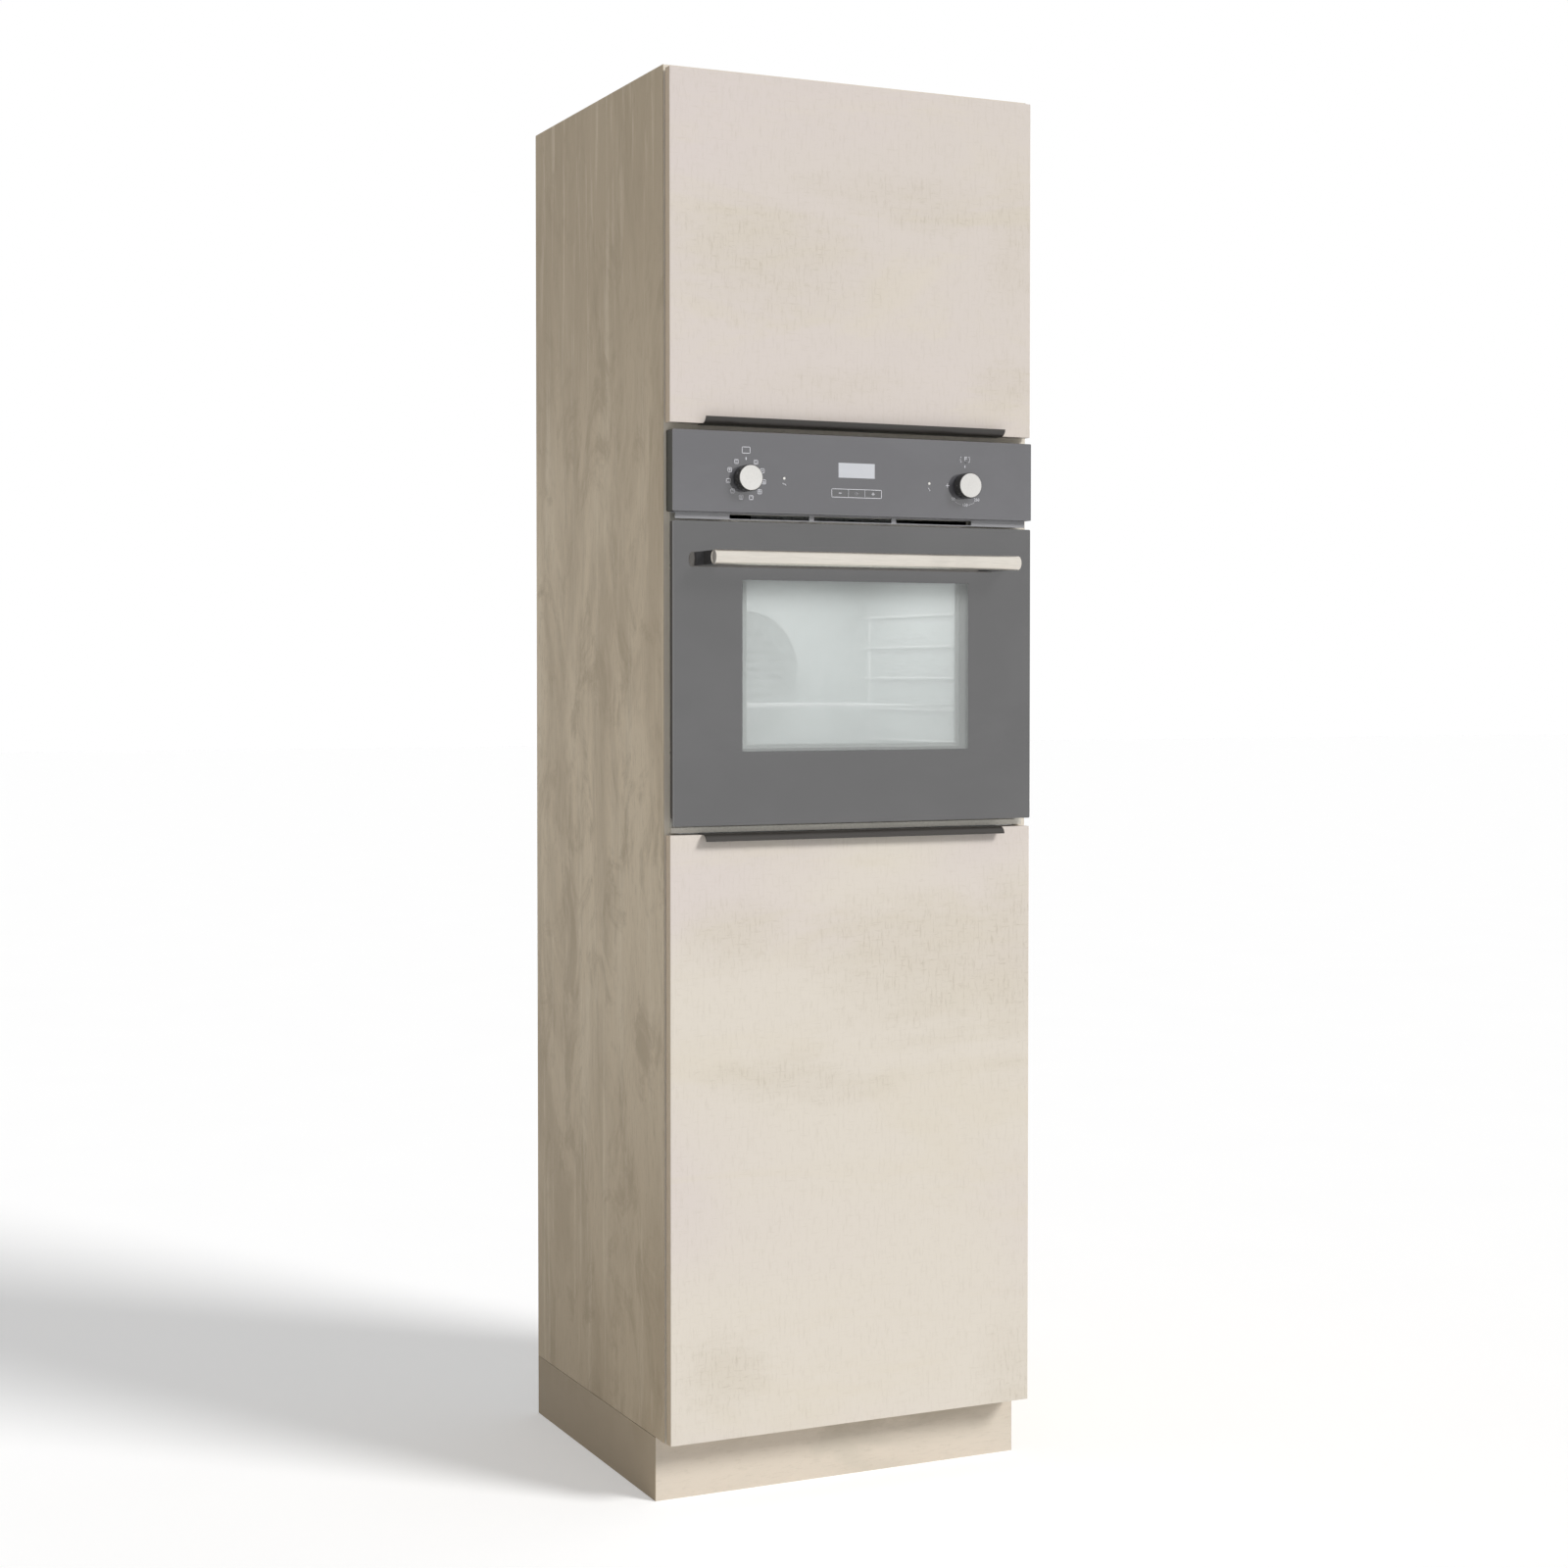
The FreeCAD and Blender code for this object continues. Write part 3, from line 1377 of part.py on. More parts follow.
# ---------------------------------------------------------------- oven door
DOOR_X = ("-Lay.door_across", "Lay.door_across")
DOOR_Z = ("Lay.z_oven_door", "Lay.z_oven_door_top")
WINDOW_X = ("-Lay.window_across", "Lay.window_across")
WINDOW_Z = ("Lay.z_window", "Lay.z_window_top")


def oven_door_glass():
    """The outer pane, with eased corners."""
    body = new_body("pane")
    face = sketch(body, "XZ_Plane", "-Lay.y_glass", [rectangle(DOOR_X, DOOR_Z)])
    plate = pad(body, face, "Dims.glass_t", flip=True)
    soften(body, plate, "Dims.glass_t / 2", lambda e: along(e, Y))
    return node(body, "oven_door_glass")


def notch_x(hand):
    """Across span of the hinge notch at the door's lower corners."""
    near, far = "Lay.pivot_across", "(Lay.pivot_across + Dims.pivot_notch)"
    return (near, far) if hand > 0 else (f"-{far}", f"-{near}")


def oven_door_frame():
    """The door's inner chassis: a stepped ring round the view, notched for the hinges."""
    body = new_body("chassis")
    start = "Lay.y_chassis"
    edge = "Lay.y_glass + Dims.door_edge_depth"
    view_x = grown(WINDOW_X, "Dims.door_view_margin")
    view_z = grown(WINDOW_Z, "Dims.door_view_margin")
    view = rectangle(view_x, view_z)
    rim = sketch(body, "XZ_Plane", f"-({start})", [rectangle(grown(DOOR_X, -1), grown(DOOR_Z, -1)), view])
    pad(body, rim, f"{edge} - ({start})", flip=True)
    step_x = grown(DOOR_X, "-Dims.door_frame_inset")
    step_z = ("Lay.pivot_z + 4", f"{DOOR_Z[1]} - 6")
    step = sketch(body, "XZ_Plane", f"-({edge})", [rectangle(step_x, step_z), view])
    pad(body, step, f"Lay.y_inner_glass - Dims.glass_t - ({edge})", flip=True)
    for _, hand in SIDES:
        notch = sketch(
            body,
            "XZ_Plane",
            f"-({start})",
            [rectangle(notch_x(hand), ("Lay.z_oven_door - 5", "Lay.pivot_z + Dims.lever_length + 2"))],
        )
        pocket(body, notch, "40")
    foot = sketch(
        body,
        "XZ_Plane",
        f"-({start} + 4)",
        [rectangle(grown(DOOR_X, 2), ("Lay.z_oven_door - 5", "Lay.pivot_z + 4"))],
    )
    pocket(body, foot, "40")
    return node(body, "oven_door_frame")


def oven_door_inner_glass():
    """The inner pane, which closes on the seal."""
    return node(
        slab(
            grown(CAVITY_X, 8),
            ("Lay.y_inner_glass - Dims.glass_t", "Lay.y_inner_glass"),
            (f"{CAVITY_Z[0]} - 8", f"{CAVITY_Z[1]} + 8"),
        ),
        "oven_door_inner_glass",
    )


def oven_handle():
    """The tubular handle and its two dark stand-offs."""
    axis_y = "Lay.y_glass - Dims.handle_stand - Dims.handle_radius"
    half = "Lay.handle_across"
    length = f"2 * {half}"
    bar = new_body("bar")
    radius = "Dims.handle_radius"
    profile = [
        ("0", "0"),
        (f"{radius} - 1", "0"),
        (radius, "1"),
        (radius, f"{length} - 1"),
        (f"{radius} - 1", length),
        ("0", length),
    ]
    spin(bar, sketch(bar, "XZ_Plane", 0, [outline(profile)]))
    bar.Placement = FreeCAD.Placement(V(0, 0, 0), TURN_TO_X)
    put(bar, f"-{half}", axis_y, "Lay.z_handle")
    node(bar, "oven_handle_bar")
    feet = []
    for _, hand in SIDES:
        inner_end = f"{hand} * ({half} - Dims.standoff_length - 2)"
        outer_end = f"{hand} * ({half} - 2)"
        span = (inner_end, outer_end) if hand > 0 else (outer_end, inner_end)
        block = slab(
            span,
            (axis_y, "Lay.y_glass"),
            ("Lay.z_handle - Dims.standoff_height / 2", "Lay.z_handle + Dims.standoff_height / 2"),
        )
        seat = rod("x", f"-{half} - 1", axis_y, "Lay.z_handle", radius, f"{length} + 2")
        feet.append(cut(block, [seat]))
    return node(group(feet, "standoffs"), "oven_handle_standoffs")


def hinge_bases():
    """The oven door's fixed hinge cheeks, which reach out through the frame, each with its pin."""
    cheeks = []
    for _, hand in SIDES:
        sheet = "Dims.pivot_sheet"
        near = f"(Lay.pivot_across + {sheet} + Dims.pivot_play)"
        x = (near, f"({near} + {sheet})") if hand > 0 else (f"-({near} + {sheet})", f"-{near}")
        eye = bar("x", x[0], "Lay.pivot_y", "Lay.pivot_z", "Dims.pivot_eye", sheet, DISC_SIDES)
        tall = grown(("Lay.pivot_z", "Lay.pivot_z"), "Dims.pivot_neck")
        neck = slab(x, ("Lay.pivot_y", "Lay.y_carcass + 3 * Dims.pivot_neck"), tall)
        high = "Lay.pivot_z + Dims.pivot_plate_rise"
        plate = slab(x, ("Lay.y_carcass + 2", "Lay.y_carcass + Dims.pivot_plate"), ("Lay.z_niche + 2", high))
        pin_length = f"(2 * {sheet} + Dims.pivot_play + 0.3)"
        tip = "(Lay.pivot_across + 0.3)"
        pin_start = tip if hand > 0 else f"-{tip} - {pin_length}"
        pin = rod("x", pin_start, "Lay.pivot_y", "Lay.pivot_z", "Dims.pivot_radius", pin_length)
        cheeks.append(fuse([eye, neck, plate, pin]))
    return node(group(cheeks, "cheeks"), "oven_hinge_bases")


def hinge_levers():
    """The door's own hinge levers, with an eye round each pin, in the chassis's notches."""
    levers = []
    for _, hand in SIDES:
        sheet = "Dims.pivot_sheet"
        near = "Lay.pivot_across"
        x = (near, f"({near} + {sheet})") if hand > 0 else (f"-({near} + {sheet})", f"-{near}")
        eye = bar("x", x[0], "Lay.pivot_y", "Lay.pivot_z", "Dims.pivot_eye", sheet, DISC_SIDES)
        deep = grown(("Lay.pivot_y", "Lay.pivot_y"), "Dims.pivot_neck")
        lever = slab(x, deep, ("Lay.pivot_z", "Lay.pivot_z + Dims.lever_length"))
        start, length = f"{x[0]} - 1", f"{sheet} + 2"
        bore = rod("x", start, "Lay.pivot_y", "Lay.pivot_z", "Dims.pivot_radius + 0.05", length)
        levers.append(cut(fuse([eye, lever]), [bore]))
    return node(group(levers, "levers"), "oven_hinge_levers")


# ---------------------------------------------------------------- the whole unit
def build():
    for side, hand in SIDES:
        side_panel(f"side_panel_{side}", hand)
    for name, floor in BOARDS.items():
        fixed_board(name, floor)
    cam_fittings()
    back_panel("lower_back_panel", "Lay.z_base", "Lay.z_niche")
    back_panel("upper_back_panel", "Lay.z_niche_top", "Lay.z_top")
    for count, height in enumerate(shelf_heights("lower"), 1):
        node(adjustable_shelf(height), f"lower_shelf_{count}")
    node(adjustable_shelf(shelf_heights("upper")[0]), "upper_shelf")
    shelf_pins()
    foot_sockets()
    foot_bases()
    plinth()
    plinth_clips()
    wall_brackets()
    for which in DOORS:
        door(which)
        edge_pull(which)
        hinge_cups(which)
    hinge_arms()
    hinge_plates()
    oven_casing()
    oven_cavity()
    insulation()
    front_frame()
    fixing_screws()
    door_seal()
    rack_guides()
    oven_rack()
    fan_cover()
    convection_fan()
    fan_motor()
    grill_element()
    lamp_cover()
    cooling_blower()
    control_fascia()
    display_lens()
    timer_module()
    for index, word in enumerate(KEYS):
        key(index, word)
    indicator_lenses()
    rotary_switches()
    knob("function_knob", -1)
    knob("thermostat_knob", 1)
    vent_grille()
    oven_door_glass()
    oven_door_frame()
    oven_door_inner_glass()
    oven_handle()
    hinge_bases()
    hinge_levers()


def check_and_write():
    """Stops on any failed feature or bad shape, then writes one file per node."""
    DOC.recompute()
    for obj in DOC.Objects:
        if {"Invalid", "Error"} & set(obj.State):
            raise SystemExit(f"{obj.Label} failed: {obj.State}")
    os.makedirs("parts", exist_ok=True)
    for obj in NODES:
        shape = obj.Shape
        if shape.isNull() or not shape.isValid() or not shape.Solids:
            raise SystemExit(f"{obj.Label} has no sound shape")
        shape.exportStep(f"parts/{obj.Label}.step")
    print(len(NODES), "nodes written")


build()
check_and_write()
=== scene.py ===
import math

import bmesh
import bpy
from mathutils import Matrix, Vector


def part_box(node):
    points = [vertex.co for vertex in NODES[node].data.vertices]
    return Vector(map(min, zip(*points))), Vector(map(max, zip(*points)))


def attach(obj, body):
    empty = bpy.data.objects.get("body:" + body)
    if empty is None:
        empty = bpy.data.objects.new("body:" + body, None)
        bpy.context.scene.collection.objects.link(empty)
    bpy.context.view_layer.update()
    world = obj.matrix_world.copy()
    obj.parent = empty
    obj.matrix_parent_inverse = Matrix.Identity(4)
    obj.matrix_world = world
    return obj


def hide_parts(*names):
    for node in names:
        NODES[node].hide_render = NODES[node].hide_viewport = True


# Looks of the tall oven housing unit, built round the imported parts.  Metres; fronts face -Y.

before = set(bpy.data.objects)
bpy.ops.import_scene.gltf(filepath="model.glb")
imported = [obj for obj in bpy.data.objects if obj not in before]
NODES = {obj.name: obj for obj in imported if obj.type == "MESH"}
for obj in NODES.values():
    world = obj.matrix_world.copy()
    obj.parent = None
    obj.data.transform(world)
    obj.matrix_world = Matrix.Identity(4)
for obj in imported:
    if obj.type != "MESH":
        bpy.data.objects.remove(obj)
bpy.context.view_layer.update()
MM = 0.001


# ---------------------------------------------------------------- shader helpers
class Shader:
    """A node material with short calls for adding and linking nodes."""

    def __init__(self, name, roughness=0.5, metallic=0.0, ior=1.5):
        self.material = bpy.data.materials.new(name)
        self.material.use_nodes = True
        self.tree = self.material.node_tree
        self.bsdf = self.tree.nodes["Principled BSDF"]
        self.set("Roughness", roughness)
        self.set("Metallic", metallic)
        self.set("IOR", ior)

    def set(self, socket, value):
        """Sets or links one input of the surface shader."""
        self.feed(self.bsdf, socket, value)

    def feed(self, node, socket, value):
        """Sets or links one input of any node."""
        target = node.inputs[socket]
        if isinstance(value, bpy.types.NodeSocket):
            self.tree.links.new(value, target)
        elif hasattr(value, "__len__") and len(value) == 3 and len(target.default_value) == 4:
            target.default_value = (*value, 1)
        else:
            target.default_value = value

    def node(self, kind, inputs=(), **options):
        """Adds a node; options are its properties, inputs pairs of socket and value or link."""
        made = self.tree.nodes.new("ShaderNode" + kind)
        for key, value in options.items():
            setattr(made, key, value)
        for socket, value in inputs:
            self.feed(made, socket, value)
        return made

    def place(self, stretch=(1, 1, 1), shift=(0, 0, 0)):
        """Object coordinates, stretched and shifted."""
        spot = self.node("TexCoord").outputs["Object"]
        mapping = self.node("Mapping", [("Vector", spot), ("Scale", stretch), ("Location", shift)])
        return mapping.outputs["Vector"]

    def axis(self, letter):
        """One object coordinate."""
        spot = self.node("TexCoord").outputs["Object"]
        return self.node("SeparateXYZ", [("Vector", spot)]).outputs[letter]

    def noise(self, scale, stretch=(1, 1, 1), detail=4.0, rough=0.55, warp=0.0, shift=(0, 0, 0)):
        """Cloudy noise round 0.5."""
        inputs = [
            ("Vector", self.place(stretch, shift)),
            ("Scale", scale),
            ("Detail", detail),
            ("Roughness", rough),
            ("Distortion", warp),
        ]
        return self.node("TexNoise", inputs).outputs["Fac"]

    def cells(self, scale, output="Distance"):
        """Cells: distance to each cell's middle, or its colour."""
        inputs = [("Vector", self.place()), ("Scale", scale)]
        return self.node("TexVoronoi", inputs).outputs[output]

    def steps(self, value, low, high, bottom=0.0, top=1.0, smooth=True):
        """Maps low..high to bottom..top and holds the ends."""
        kind = "SMOOTHSTEP" if smooth else "LINEAR"
        inputs = [
            ("Value", value),
            ("From Min", low),
            ("From Max", high),
            ("To Min", bottom),
            ("To Max", top),
        ]
        return self.node("MapRange", inputs, interpolation_type=kind, clamp=True).outputs["Result"]

    def sum(self, operation, a, b=0.0):
        """A math node."""
        return self.node("Math", [(0, a), (1, b)], operation=operation).outputs[0]

    def blend(self, share, a, b, how="MIX"):
        """Mixes two colours."""
        made = self.node("Mix", data_type="RGBA", blend_type=how)
        colours = [socket for socket in made.inputs if socket.type == "RGBA"]
        self.link_or_set(made.inputs[0], share)
        self.link_or_set(colours[0], a)
        self.link_or_set(colours[1], b)
        return [socket for socket in made.outputs if socket.type == "RGBA"][0]

    def link_or_set(self, target, value):
        """Links a socket to an input, or sets a number or colour on it."""
        if isinstance(value, bpy.types.NodeSocket):
            self.tree.links.new(value, target)
        elif hasattr(value, "__len__"):
            target.default_value = (*value, 1)
        else:
            target.default_value = value

    def bump(self, height, distance, strength=1.0):
        """Relief from a height, its depth given in metres."""
        made = self.node("Bump", [("Height", height), ("Distance", distance), ("Strength", strength)])
        self.set("Normal", made.outputs["Normal"])


def srgb(red, green, blue):
    """A display colour 0..255 as linear light."""
    def channel(value):
        value /= 255
        return value / 12.92 if value <= 0.04045 else ((value + 0.055) / 1.055) ** 2.4
    return tuple(channel(value) for value in (red, green, blue))


# ---------------------------------------------------------------- materials
CREAM = srgb(212, 203, 195)
ROSE = srgb(213, 203, 198)
CREAM_WARM = srgb(215, 206, 190)
CLOUD = srgb(203, 194, 179)
SCRATCH = srgb(180, 169, 151)
SIDE = srgb(209, 192, 164)
SIDE_DARK = srgb(160, 141, 111)
SIDE_PALE = srgb(221, 208, 184)
# Brown for the door edges: partly the edge banding's own tone, partly painted shade on the edges.
EDGE_BROWN_AND_SHADE = srgb(186, 162, 126)
MELAMINE = srgb(224, 216, 202)
DOOR_EDGE = (0.2974, 0.2979)
OUTER_FACE = (0.2992, 0.2996)


def oval(shader, centre, size):
    """Squared distance from a spot in the front's plane, 1 on an oval round it."""
    across = shader.sum("DIVIDE", shader.sum("SUBTRACT", shader.axis("X"), centre[0]), size[0])
    up = shader.sum("DIVIDE", shader.sum("SUBTRACT", shader.axis("Z"), centre[1]), size[1])
    return shader.sum("ADD", shader.sum("MULTIPLY", across, across), shader.sum("MULTIPLY", up, up))


def front_board(name, base, patches, shift):
    """A cream decor board: faint pink and warm drifts, level clouds, ragged patches of fine scratches, and
    brown edges that are partly the banding's tone and partly painted shade.
    """
    shader = Shader(name, roughness=0.46)
    drift = shader.noise(1.5, (0.8, 1, 1.5), 3.0, 0.5, 0.3, shift)
    cloud = shader.noise(4.2, (0.45, 1, 2.0), 6.0, 0.68, 0.7, shift)
    upright = shader.noise(230, (1, 1, 0.16), 4.0, 0.75)
    level = shader.noise(230, (0.18, 1, 1), 4.0, 0.75)
    scratch = shader.sum("MAXIMUM", upright, shader.sum("MULTIPLY", level, 0.96))
    colour = shader.blend(shader.steps(drift, 0.4, 0.62, 0.0, 0.8), base, ROSE)
    colour = shader.blend(shader.steps(cloud, 0.47, 0.68, 0.0, 0.55), colour, CREAM_WARM)
    nearest = None
    for centre, size in patches:
        reach = oval(shader, centre, size)
        nearest = reach if nearest is None else shader.sum("MINIMUM", nearest, reach)
    fray = shader.sum("MULTIPLY", shader.sum("SUBTRACT", 0.5, cloud), 9.0)
    frayed = shader.sum("ADD", nearest, fray)
    worn = shader.steps(frayed, -1.0, 2.4, 1.0, 0.0)
    colour = shader.blend(shader.sum("MULTIPLY", worn, 0.42), colour, CLOUD)
    share = shader.sum("ADD", shader.sum("MULTIPLY", worn, 0.7), 0.4)
    marks = shader.sum("MULTIPLY", shader.steps(scratch, 0.5, 0.7), share)
    colour = shader.blend(shader.sum("MULTIPLY", marks, 0.5), colour, SCRATCH)
    edge = shader.sum("ABSOLUTE", shader.axis("X"))
    # Painted shade mixed with the edge banding's tone: the doors' side faces turn brown.
    colour = shader.blend(shader.steps(edge, *DOOR_EDGE, 0.0, 0.75), colour, EDGE_BROWN_AND_SHADE)
    shader.set("Base Color", colour)
    shader.bump(shader.sum("ADD", scratch, cloud), 0.00005, 0.5)
    return shader.material


def side_board(name):
    """The sides: upright streaks and brown blotches outside, with painted shade darkening them high and low;
    pale board inside.
    """
    shader = Shader(name, roughness=0.5)
    drift = shader.noise(2.1, (1, 2.6, 0.7), 6.0, 0.66, 0.8)
    blotch = shader.noise(7, (1, 1.5, 0.8), 7.0, 0.72, 0.8)
    height = shader.axis("Z")
    # Painted shade: high and ends darken the outer face towards its top and towards its foot, as shade falls
    # on it.
    high = shader.steps(height, 1.3, 1.95, 0.0, 0.7)
    ends = shader.sum("ADD", high, shader.steps(height, 0.2, 1.0, 0.45, 0.0))
    streak = shader.noise(26, (1, 1.6, 0.09), 5.0, 0.7, 0.15)
    fine = shader.noise(240, (1, 1.4, 0.12), 4.0, 0.75)
    colour = shader.blend(shader.steps(drift, 0.42, 0.64, 0.0, 0.55), SIDE, SIDE_DARK)
    # The painted shade, darker high and low, is laid on here.
    colour = shader.blend(ends, colour, SIDE_DARK)
    colour = shader.blend(shader.steps(streak, 0.5, 0.68, 0.0, 0.4), colour, SIDE_PALE)
    colour = shader.blend(shader.steps(blotch, 0.48, 0.66, 0.0, 0.65), colour, SIDE_DARK)
    colour = shader.blend(shader.steps(fine, 0.5, 0.72, 0.0, 0.6), colour, SIDE_DARK)
    pale = shader.blend(shader.steps(fine, 0.4, 0.8, 0.0, 0.25), MELAMINE, CLOUD)
    outer = shader.steps(shader.sum("ABSOLUTE", shader.axis("X")), *OUTER_FACE)
    shader.set("Base Color", shader.blend(outer, pale, colour))
    shader.bump(shader.sum("ADD", fine, streak), 0.00006, 0.5)
    return shader.material


def plinth_board():
    """The plinth: the fronts' decor with brown drifts near its top, and on its returns the sides' dark brown
    as painted shade.
    """
    shader = Shader("plinth_decor", roughness=0.5)
    drift = shader.noise(5.5, (0.7, 1.6, 1.4), 6.0, 0.66, 0.6)
    fine = shader.noise(230, (0.2, 0.2, 1), 4.0, 0.75)
    colour = shader.blend(shader.steps(drift, 0.42, 0.62, 0.0, 0.75), srgb(214, 203, 188), CLOUD)
    high = shader.steps(shader.axis("Z"), 0.045, 0.1)
    colour = shader.blend(shader.sum("MULTIPLY", high, shader.steps(drift, 0.38, 0.6)), colour, SCRATCH)
    colour = shader.blend(shader.steps(fine, 0.5, 0.72, 0.0, 0.3), colour, SCRATCH)
    # Painted shade: the returns take the sides' dark brown at 85 %, darker than the sides' own decor.
    side = shader.steps(shader.sum("ABSOLUTE", shader.axis("X")), *OUTER_FACE)
    colour = shader.blend(shader.sum("MULTIPLY", side, 0.85), colour, SIDE_DARK)
    shader.set("Base Color", colour)
    shader.bump(fine, 0.00006, 0.5)
    return shader.material


def inner_board():
    """Pale melamine of shelves and fixed boards, with a quiet upright grain and banded edges."""
    shader = Shader("inner_melamine", roughness=0.5)
    grain = shader.noise(60, (2.4, 0.3, 1), 4.0, 0.6)
    cloud = shader.noise(4, (1, 0.5, 1), 3.0, 0.5)
    colour = shader.blend(shader.steps(grain, 0.4, 0.8, 0.0, 0.3), MELAMINE, CLOUD)
    colour = shader.blend(shader.steps(cloud, 0.5, 0.8, 0.0, 0.3), colour, CLOUD)
    shader.set("Base Color", colour)
    shader.bump(grain, 0.00005, 0.5)
    return shader.material


def hardboard():
    """The painted hardboard of the backs."""
    shader = Shader("painted_hardboard", roughness=0.62)
    fibre = shader.noise(240, (1, 1, 1), 5.0, 0.7)
    weave = shader.cells(420)
    colour = shader.blend(shader.steps(fibre, 0.35, 0.75, 0.0, 0.5), srgb(226, 221, 210), srgb(204, 196, 180))
    shader.set("Base Color", colour)
    shader.bump(shader.sum("ADD", fibre, weave), 0.00015, 0.6)
    return shader.material


def metal(name, colour, roughness, stretch=(1, 1, 1), scale=900, depth=0.00003, spread=0.12, metallic=1.0):
    """Brushed or plated metal: fine lines that vary tone, roughness and relief."""
    shader = Shader(name, metallic=metallic)
    lines = shader.noise(scale, stretch, 3.0, 0.7)
    smear = shader.noise(14, (1, 1, 1), 4.0, 0.6)
    dim = tuple(0.72 * value for value in colour)
    shade = shader.blend(shader.steps(lines, 0.3, 0.75, 0.0, 0.5), colour, dim)
    shader.set("Base Color", shader.blend(shader.steps(smear, 0.4, 0.8, 0.0, 0.3), shade, dim))
    shader.set("Roughness", shader.steps(lines, 0.3, 0.7, roughness - spread / 2, roughness + spread / 2))
    shader.bump(lines, depth, 0.5)
    return shader.material


def coat(name, colour, roughness, scale=700, depth=0.00004, ior=1.5):
    """Powder coat, plastic or enamel: an even colour with fine orange peel and faint cloudiness."""
    shader = Shader(name, ior=ior)
    peel = shader.noise(scale, (1, 1, 1), 3.0, 0.6)
    smear = shader.noise(9, (1, 1, 1), 4.0, 0.6)
    light = tuple(min(1.0, 1.25 * value + 0.004) for value in colour)
    shader.set("Base Color", shader.blend(shader.steps(smear, 0.35, 0.8, 0.0, 0.5), colour, light))
    shader.set("Roughness", shader.steps(smear, 0.3, 0.8, roughness - 0.03, roughness + 0.06))
    shader.bump(peel, depth, 0.4)
    return shader.material


def galvanised():
    """Galvanised sheet with a fine spangle."""
    shader = Shader("galvanised_sheet", metallic=1.0)
    spangle = shader.cells(150, output="Color")
    tone = shader.node("RGBToBW", [("Color", spangle)]).outputs[0]
    fine = shader.noise(300, (1, 1, 1), 3.0, 0.6)
    colour = shader.blend(shader.steps(tone, 0.2, 0.8), srgb(178, 180, 182), srgb(196, 198, 199))
    shader.set("Base Color", colour)
    shader.set("Roughness", shader.steps(fine, 0.3, 0.7, 0.32, 0.5))
    shader.bump(fine, 0.00003, 0.4)
    return shader.material


def mineral_wool():
    """The oven's tufted insulation."""
    shader = Shader("mineral_wool", roughness=0.95)
    tuft = shader.noise(60, (1, 1, 1), 8.0, 0.75, 1.2)
    colour = shader.blend(shader.steps(tuft, 0.3, 0.7), srgb(190, 178, 132), srgb(226, 216, 180))
    shader.set("Base Color", colour)
    shader.bump(tuft, 0.002, 0.8)
    return shader.material


def enamel():
    """The muffle's enamel: pale grey with fine flecks."""
    shader = Shader("cavity_enamel", roughness=0.3)
    fleck = shader.cells(700)
    cloud = shader.noise(12, (1, 1, 1), 3.0, 0.5)
    colour = shader.blend(shader.steps(fleck, 0.1, 0.28, 0.5, 0.0), srgb(172, 176, 176), srgb(196, 200, 200))
    colour = shader.blend(shader.steps(cloud, 0.4, 0.8, 0.0, 0.25), colour, srgb(160, 164, 165))
    shader.set("Base Color", colour)
    shader.bump(fleck, 0.00004, 0.4)
    return shader.material


def dark_glass(name, low=(54, 54, 57), high=(62, 62, 64)):
    """Glass printed dark on its back: near black under a bright mirror of the room."""
    shader = Shader(name, ior=2.2)
    smear = shader.noise(5, (1, 1, 1.6), 4.0, 0.6, 0.4)
    haze = shader.noise(500, (1, 1, 1), 2.0, 0.5)
    shader.set("Base Color", shader.blend(shader.steps(smear, 0.35, 0.75), srgb(*low), srgb(*high)))
    shader.set("Roughness", shader.steps(smear, 0.3, 0.8, 0.04, 0.08))
    shader.bump(haze, 0.000004, 0.3)
    return shader.material


def clear_glass(name, colour, cover, roughness=0.04):
    """A clear pane with a pale cast; cover is how much of what lies behind it is veiled."""
    shader = Shader(name, ior=1.5)
    smear = shader.noise(6, (1, 1, 1.5), 3.0, 0.5)
    light = tuple(min(1.0, 1.06 * value) for value in colour)
    shader.set("Base Color", shader.blend(shader.steps(smear, 0.35, 0.75), colour, light))
    shader.set("Roughness", shader.steps(smear, 0.3, 0.8, roughness, roughness + 0.04))
    shader.set("Alpha", cover)
    return shader.material


def brushed_steel_bar():
    """The handle: satin steel with fine lines along its length."""
    return metal("handle_satin", srgb(232, 226, 216), 0.34, (0.02, 1, 1), 1400, 0.00002, 0.1)


